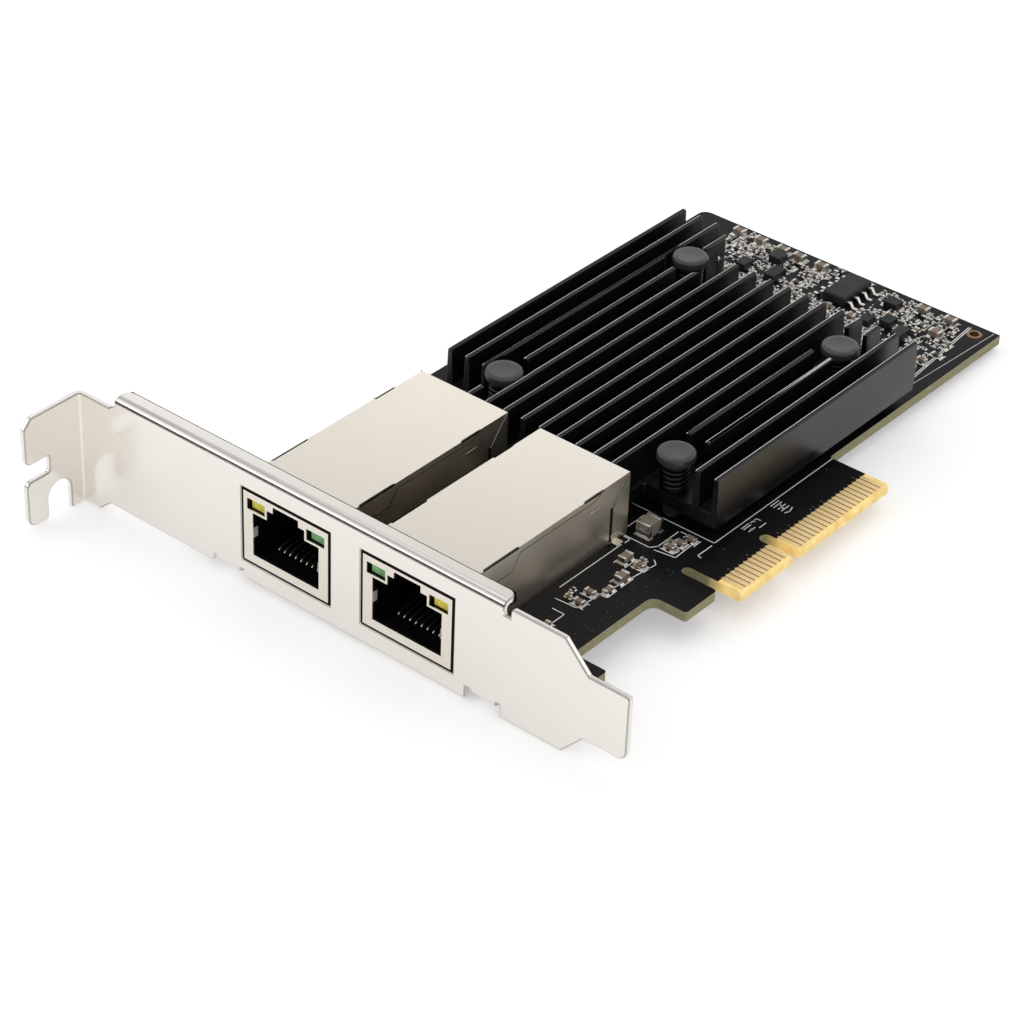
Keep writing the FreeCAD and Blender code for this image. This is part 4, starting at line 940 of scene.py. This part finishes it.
# Vias, bare and covered, with dark discs of painted shade in their holes, and the plated hole
viaLook = {"radius": 0.18, "high": 0.012, "hole": 0.08, "holeHigh": 0.018, "sunk": 0.02,
           "upperTries": 90, "lowerTries": 420, "notchHalf": 8.5, "notchRear": -11.2, "pinClear": 2.3,
           "tongueX": -9.8, "hookRear": -4.0, "lowerArea": (-64.0, -12.5, -44.0, 65.0),
           "upperAreas": ((-16.0, -11.5, -3.0, 42.0), (-12.0, -9.4, -44.0, -13.0),
                          (-64.0, -60.5, -44.0, 50.0))}
ringLook = {"inner": 0.81, "outer": 1.22, "high": 0.03, "sleeveInner": 0.72, "sleeveOuter": 0.80}


def onBoard(spot):
    # true where the board is whole: outside the jack notches, the pin holes and the hook
    x, y = spot
    if y < viaLook["notchRear"] and any(abs(x - centerX) < viaLook["notchHalf"] for centerX in jackCenters):
        return False
    if any(math.hypot(x - pinX, y - pinY) < viaLook["pinClear"] for pinX, pinY in pinSpots):
        return False
    return x < viaLook["tongueX"] or y > viaLook["hookRear"]


def randomSpot(left, right, front, rear):
    return (rng.uniform(left, right), rng.uniform(front, rear))


def addRing(bm, inner, outer, low, high):
    addTurned(bm, [(inner, low), (outer, low), (outer, high), (inner, high)], toolingSpot, 32, True)


bareVias = bmesh.new()
coveredVias = bmesh.new()
viaHoleShade = bmesh.new()
bareSpots = [(-4.9, y) for y in (20.5, 12.7, 10.7, 10.0, 4.7, 2.2, -4.9, -9.3)]
upperSpots = [randomSpot(*rng.choice(viaLook["upperAreas"])) for attempt in range(viaLook["upperTries"])]
lowerSpots = [randomSpot(*viaLook["lowerArea"]) for attempt in range(viaLook["lowerTries"])]
for target, side, spots in (
        (bareVias, 1, bareSpots + [(-8.1, -6.0), (-8.9, 19.8)]), (bareVias, -1, bareSpots),
        (coveredVias, 1, filter(onBoard, upperSpots)), (coveredVias, -1, filter(onBoard, lowerSpots))):
    for spot in spots:
        addDisc(target, spot, viaLook["radius"], *levels(side, viaLook["high"], viaLook["sunk"]), 8)
        addDisc(viaHoleShade, spot, viaLook["hole"], *levels(side, viaLook["holeHigh"], viaLook["sunk"]), 6)
finishPiece("viaRings", bareVias, copperRing, weighted=False)
finishPiece("viaCovered", coveredVias, viaMasked, weighted=False)
finishPiece("viaHoleShade", viaHoleShade, paintedHoleShade, weighted=False)
bm = bmesh.new()
for side in (1, -1):
    addRing(bm, ringLook["inner"], ringLook["outer"], *levels(side, ringLook["high"], ringLook["high"]))
addRing(bm, ringLook["sleeveInner"], ringLook["sleeveOuter"], boardLow.z, boardHigh.z)
bmesh.ops.recalc_face_normals(bm, faces=bm.faces)
finishPiece("toolingRing", bm, copperRing)
print("board details made")

# Floor, lamps and camera
def seenRays():
    # rays that reach the camera directly, by a mirror or through glass; and the mirrored ones
    rays = addNode("LightPath", {}).outputs
    seen = math2("MAXIMUM", rays["Is Camera Ray"], rays["Is Glossy Ray"])
    return math2("MAXIMUM", seen, rays["Is Transmission Ray"]), rays["Is Glossy Ray"]


def makeFloor():
    # a plain plane just under the three points the card rests on
    look = {"rests": ((-90.0, -57.0, -7.62), (-2.0, -48.3, -5.53), (-18.3, 34.9, -2.99)),
            "dark": (0.85, 0.85, 0.85), "pale": (0.87, 0.87, 0.87), "lift": 0.38, "mirrorLift": 0.30,
            "half": 2.5, "gap": 0.05}
    a, b, c = (Vector(rest) for rest in look["rests"])
    normal = (b - a).cross(c - a).normalized()
    center = (a + b + c) / 3 - normal * look["gap"]
    tilt = normal.to_track_quat("Z", "Y").to_matrix().to_4x4()
    bm = bmesh.new()
    bmesh.ops.create_grid(bm, x_segments=1, y_segments=1, size=look["half"], matrix=movedTo(center) @ tilt)
    finish, shader, coords = startFinish("floorWhite", look["pale"], 0.9)
    trees[-1].nodes.remove(shader)
    tone = mixColor(noise(coords, 30.0, 2.0), look["dark"], look["pale"])
    plain = addNode("BsdfDiffuse", {"Color": tone}).outputs[0]
    seen, glossy = seenRays()
    strength = between(glossy, 0.0, 1.0, look["lift"], look["mirrorLift"])
    glow = addNode("Emission", {"Color": (1, 1, 1), "Strength": strength}).outputs[0]
    lifted = addNode("AddShader", {0: plain, 1: glow}).outputs[0]
    shown = addNode("MixShader", {0: seen, 1: plain, 2: lifted}).outputs[0]
    setInputs(trees[-1].nodes["Material Output"], {"Surface": shown})
    putInScene("paleFloor", meshFrom("paleFloor", bm, finish))


def makeWorld():
    # mirrored rays see the studio fade from bright low down to dim overhead, with a dark band
    # just above the horizon
    look = {"ambient": 0.66, "seen": 1.0, "fadeAt": (0.50, 0.64), "bright": 1.22, "dim": 0.48,
            "bandFrom": (-0.05, -0.03), "bandTo": (0.26, 0.20), "band": 0.10}
    world = bpy.data.worlds.new("studioWhite")
    bpy.context.scene.world = world
    world.use_nodes = True
    trees.append(world.node_tree)
    seen, glossy = seenRays()
    height = axisOf(addNode("TexCoord", {}).outputs["Generated"], "Z")
    fade = between(height, *look["fadeAt"], look["bright"], look["dim"])
    inBand = times(between(height, *look["bandFrom"]), between(height, *look["bandTo"]))
    fade = times(fade, between(inBand, 0.0, 1.0, 1.0, look["band"]))
    plain = between(seen, 0.0, 1.0, look["ambient"], look["seen"])
    mirrored = times(glossy, between(fade, 0.0, 2.0, -1.0, 1.0))
    setInputs(trees[-1].nodes["Background"], {"Color": (1, 1, 1), "Strength": math2("ADD", plain, mirrored)})


def addLamp(name, place, size, power):
    # square soft light aimed at the middle of the card
    lamp = bpy.data.lights.new(name, "AREA")
    lamp.shape = "SQUARE"
    lamp.size = size
    lamp.energy = power
    holder = putInScene(name, lamp)
    holder.location = place
    holder.rotation_euler = (Vector((-0.04, 0.0, 0.0)) - Vector(place)).to_track_quat("-Z", "Y").to_euler()


def makeCamera():
    look = {"azimuth": 38.44373, "elevation": 34.92582, "roll": 2.3666, "lens": 110.852, "sensor": 36.0,
            "place": (0.18822, -0.30035, 0.25176)}
    data = bpy.data.cameras.new("photoView")
    data.sensor_width = look["sensor"]
    data.lens = look["lens"]
    data.clip_start = 0.01
    data.clip_end = 20.0
    camera = putInScene("photoView", data)
    turn = (Matrix.Rotation(math.radians(look["azimuth"]), 4, "Z")
            @ Matrix.Rotation(math.radians(90 - look["elevation"]), 4, "X")
            @ Matrix.Rotation(math.radians(look["roll"]), 4, "Z"))
    camera.matrix_world = Matrix.Translation(look["place"]) @ turn
    bpy.context.scene.camera = camera


makeFloor()
makeWorld()
addLamp("topSoftbox", (-0.15, 0.25, 1.15), 1.1, 2.0)
addLamp("sideSoftbox", (-0.9, -0.7, 0.7), 0.9, 1.3)
makeCamera()
bpy.context.scene.view_settings.view_transform = "Standard"
print("stage set")
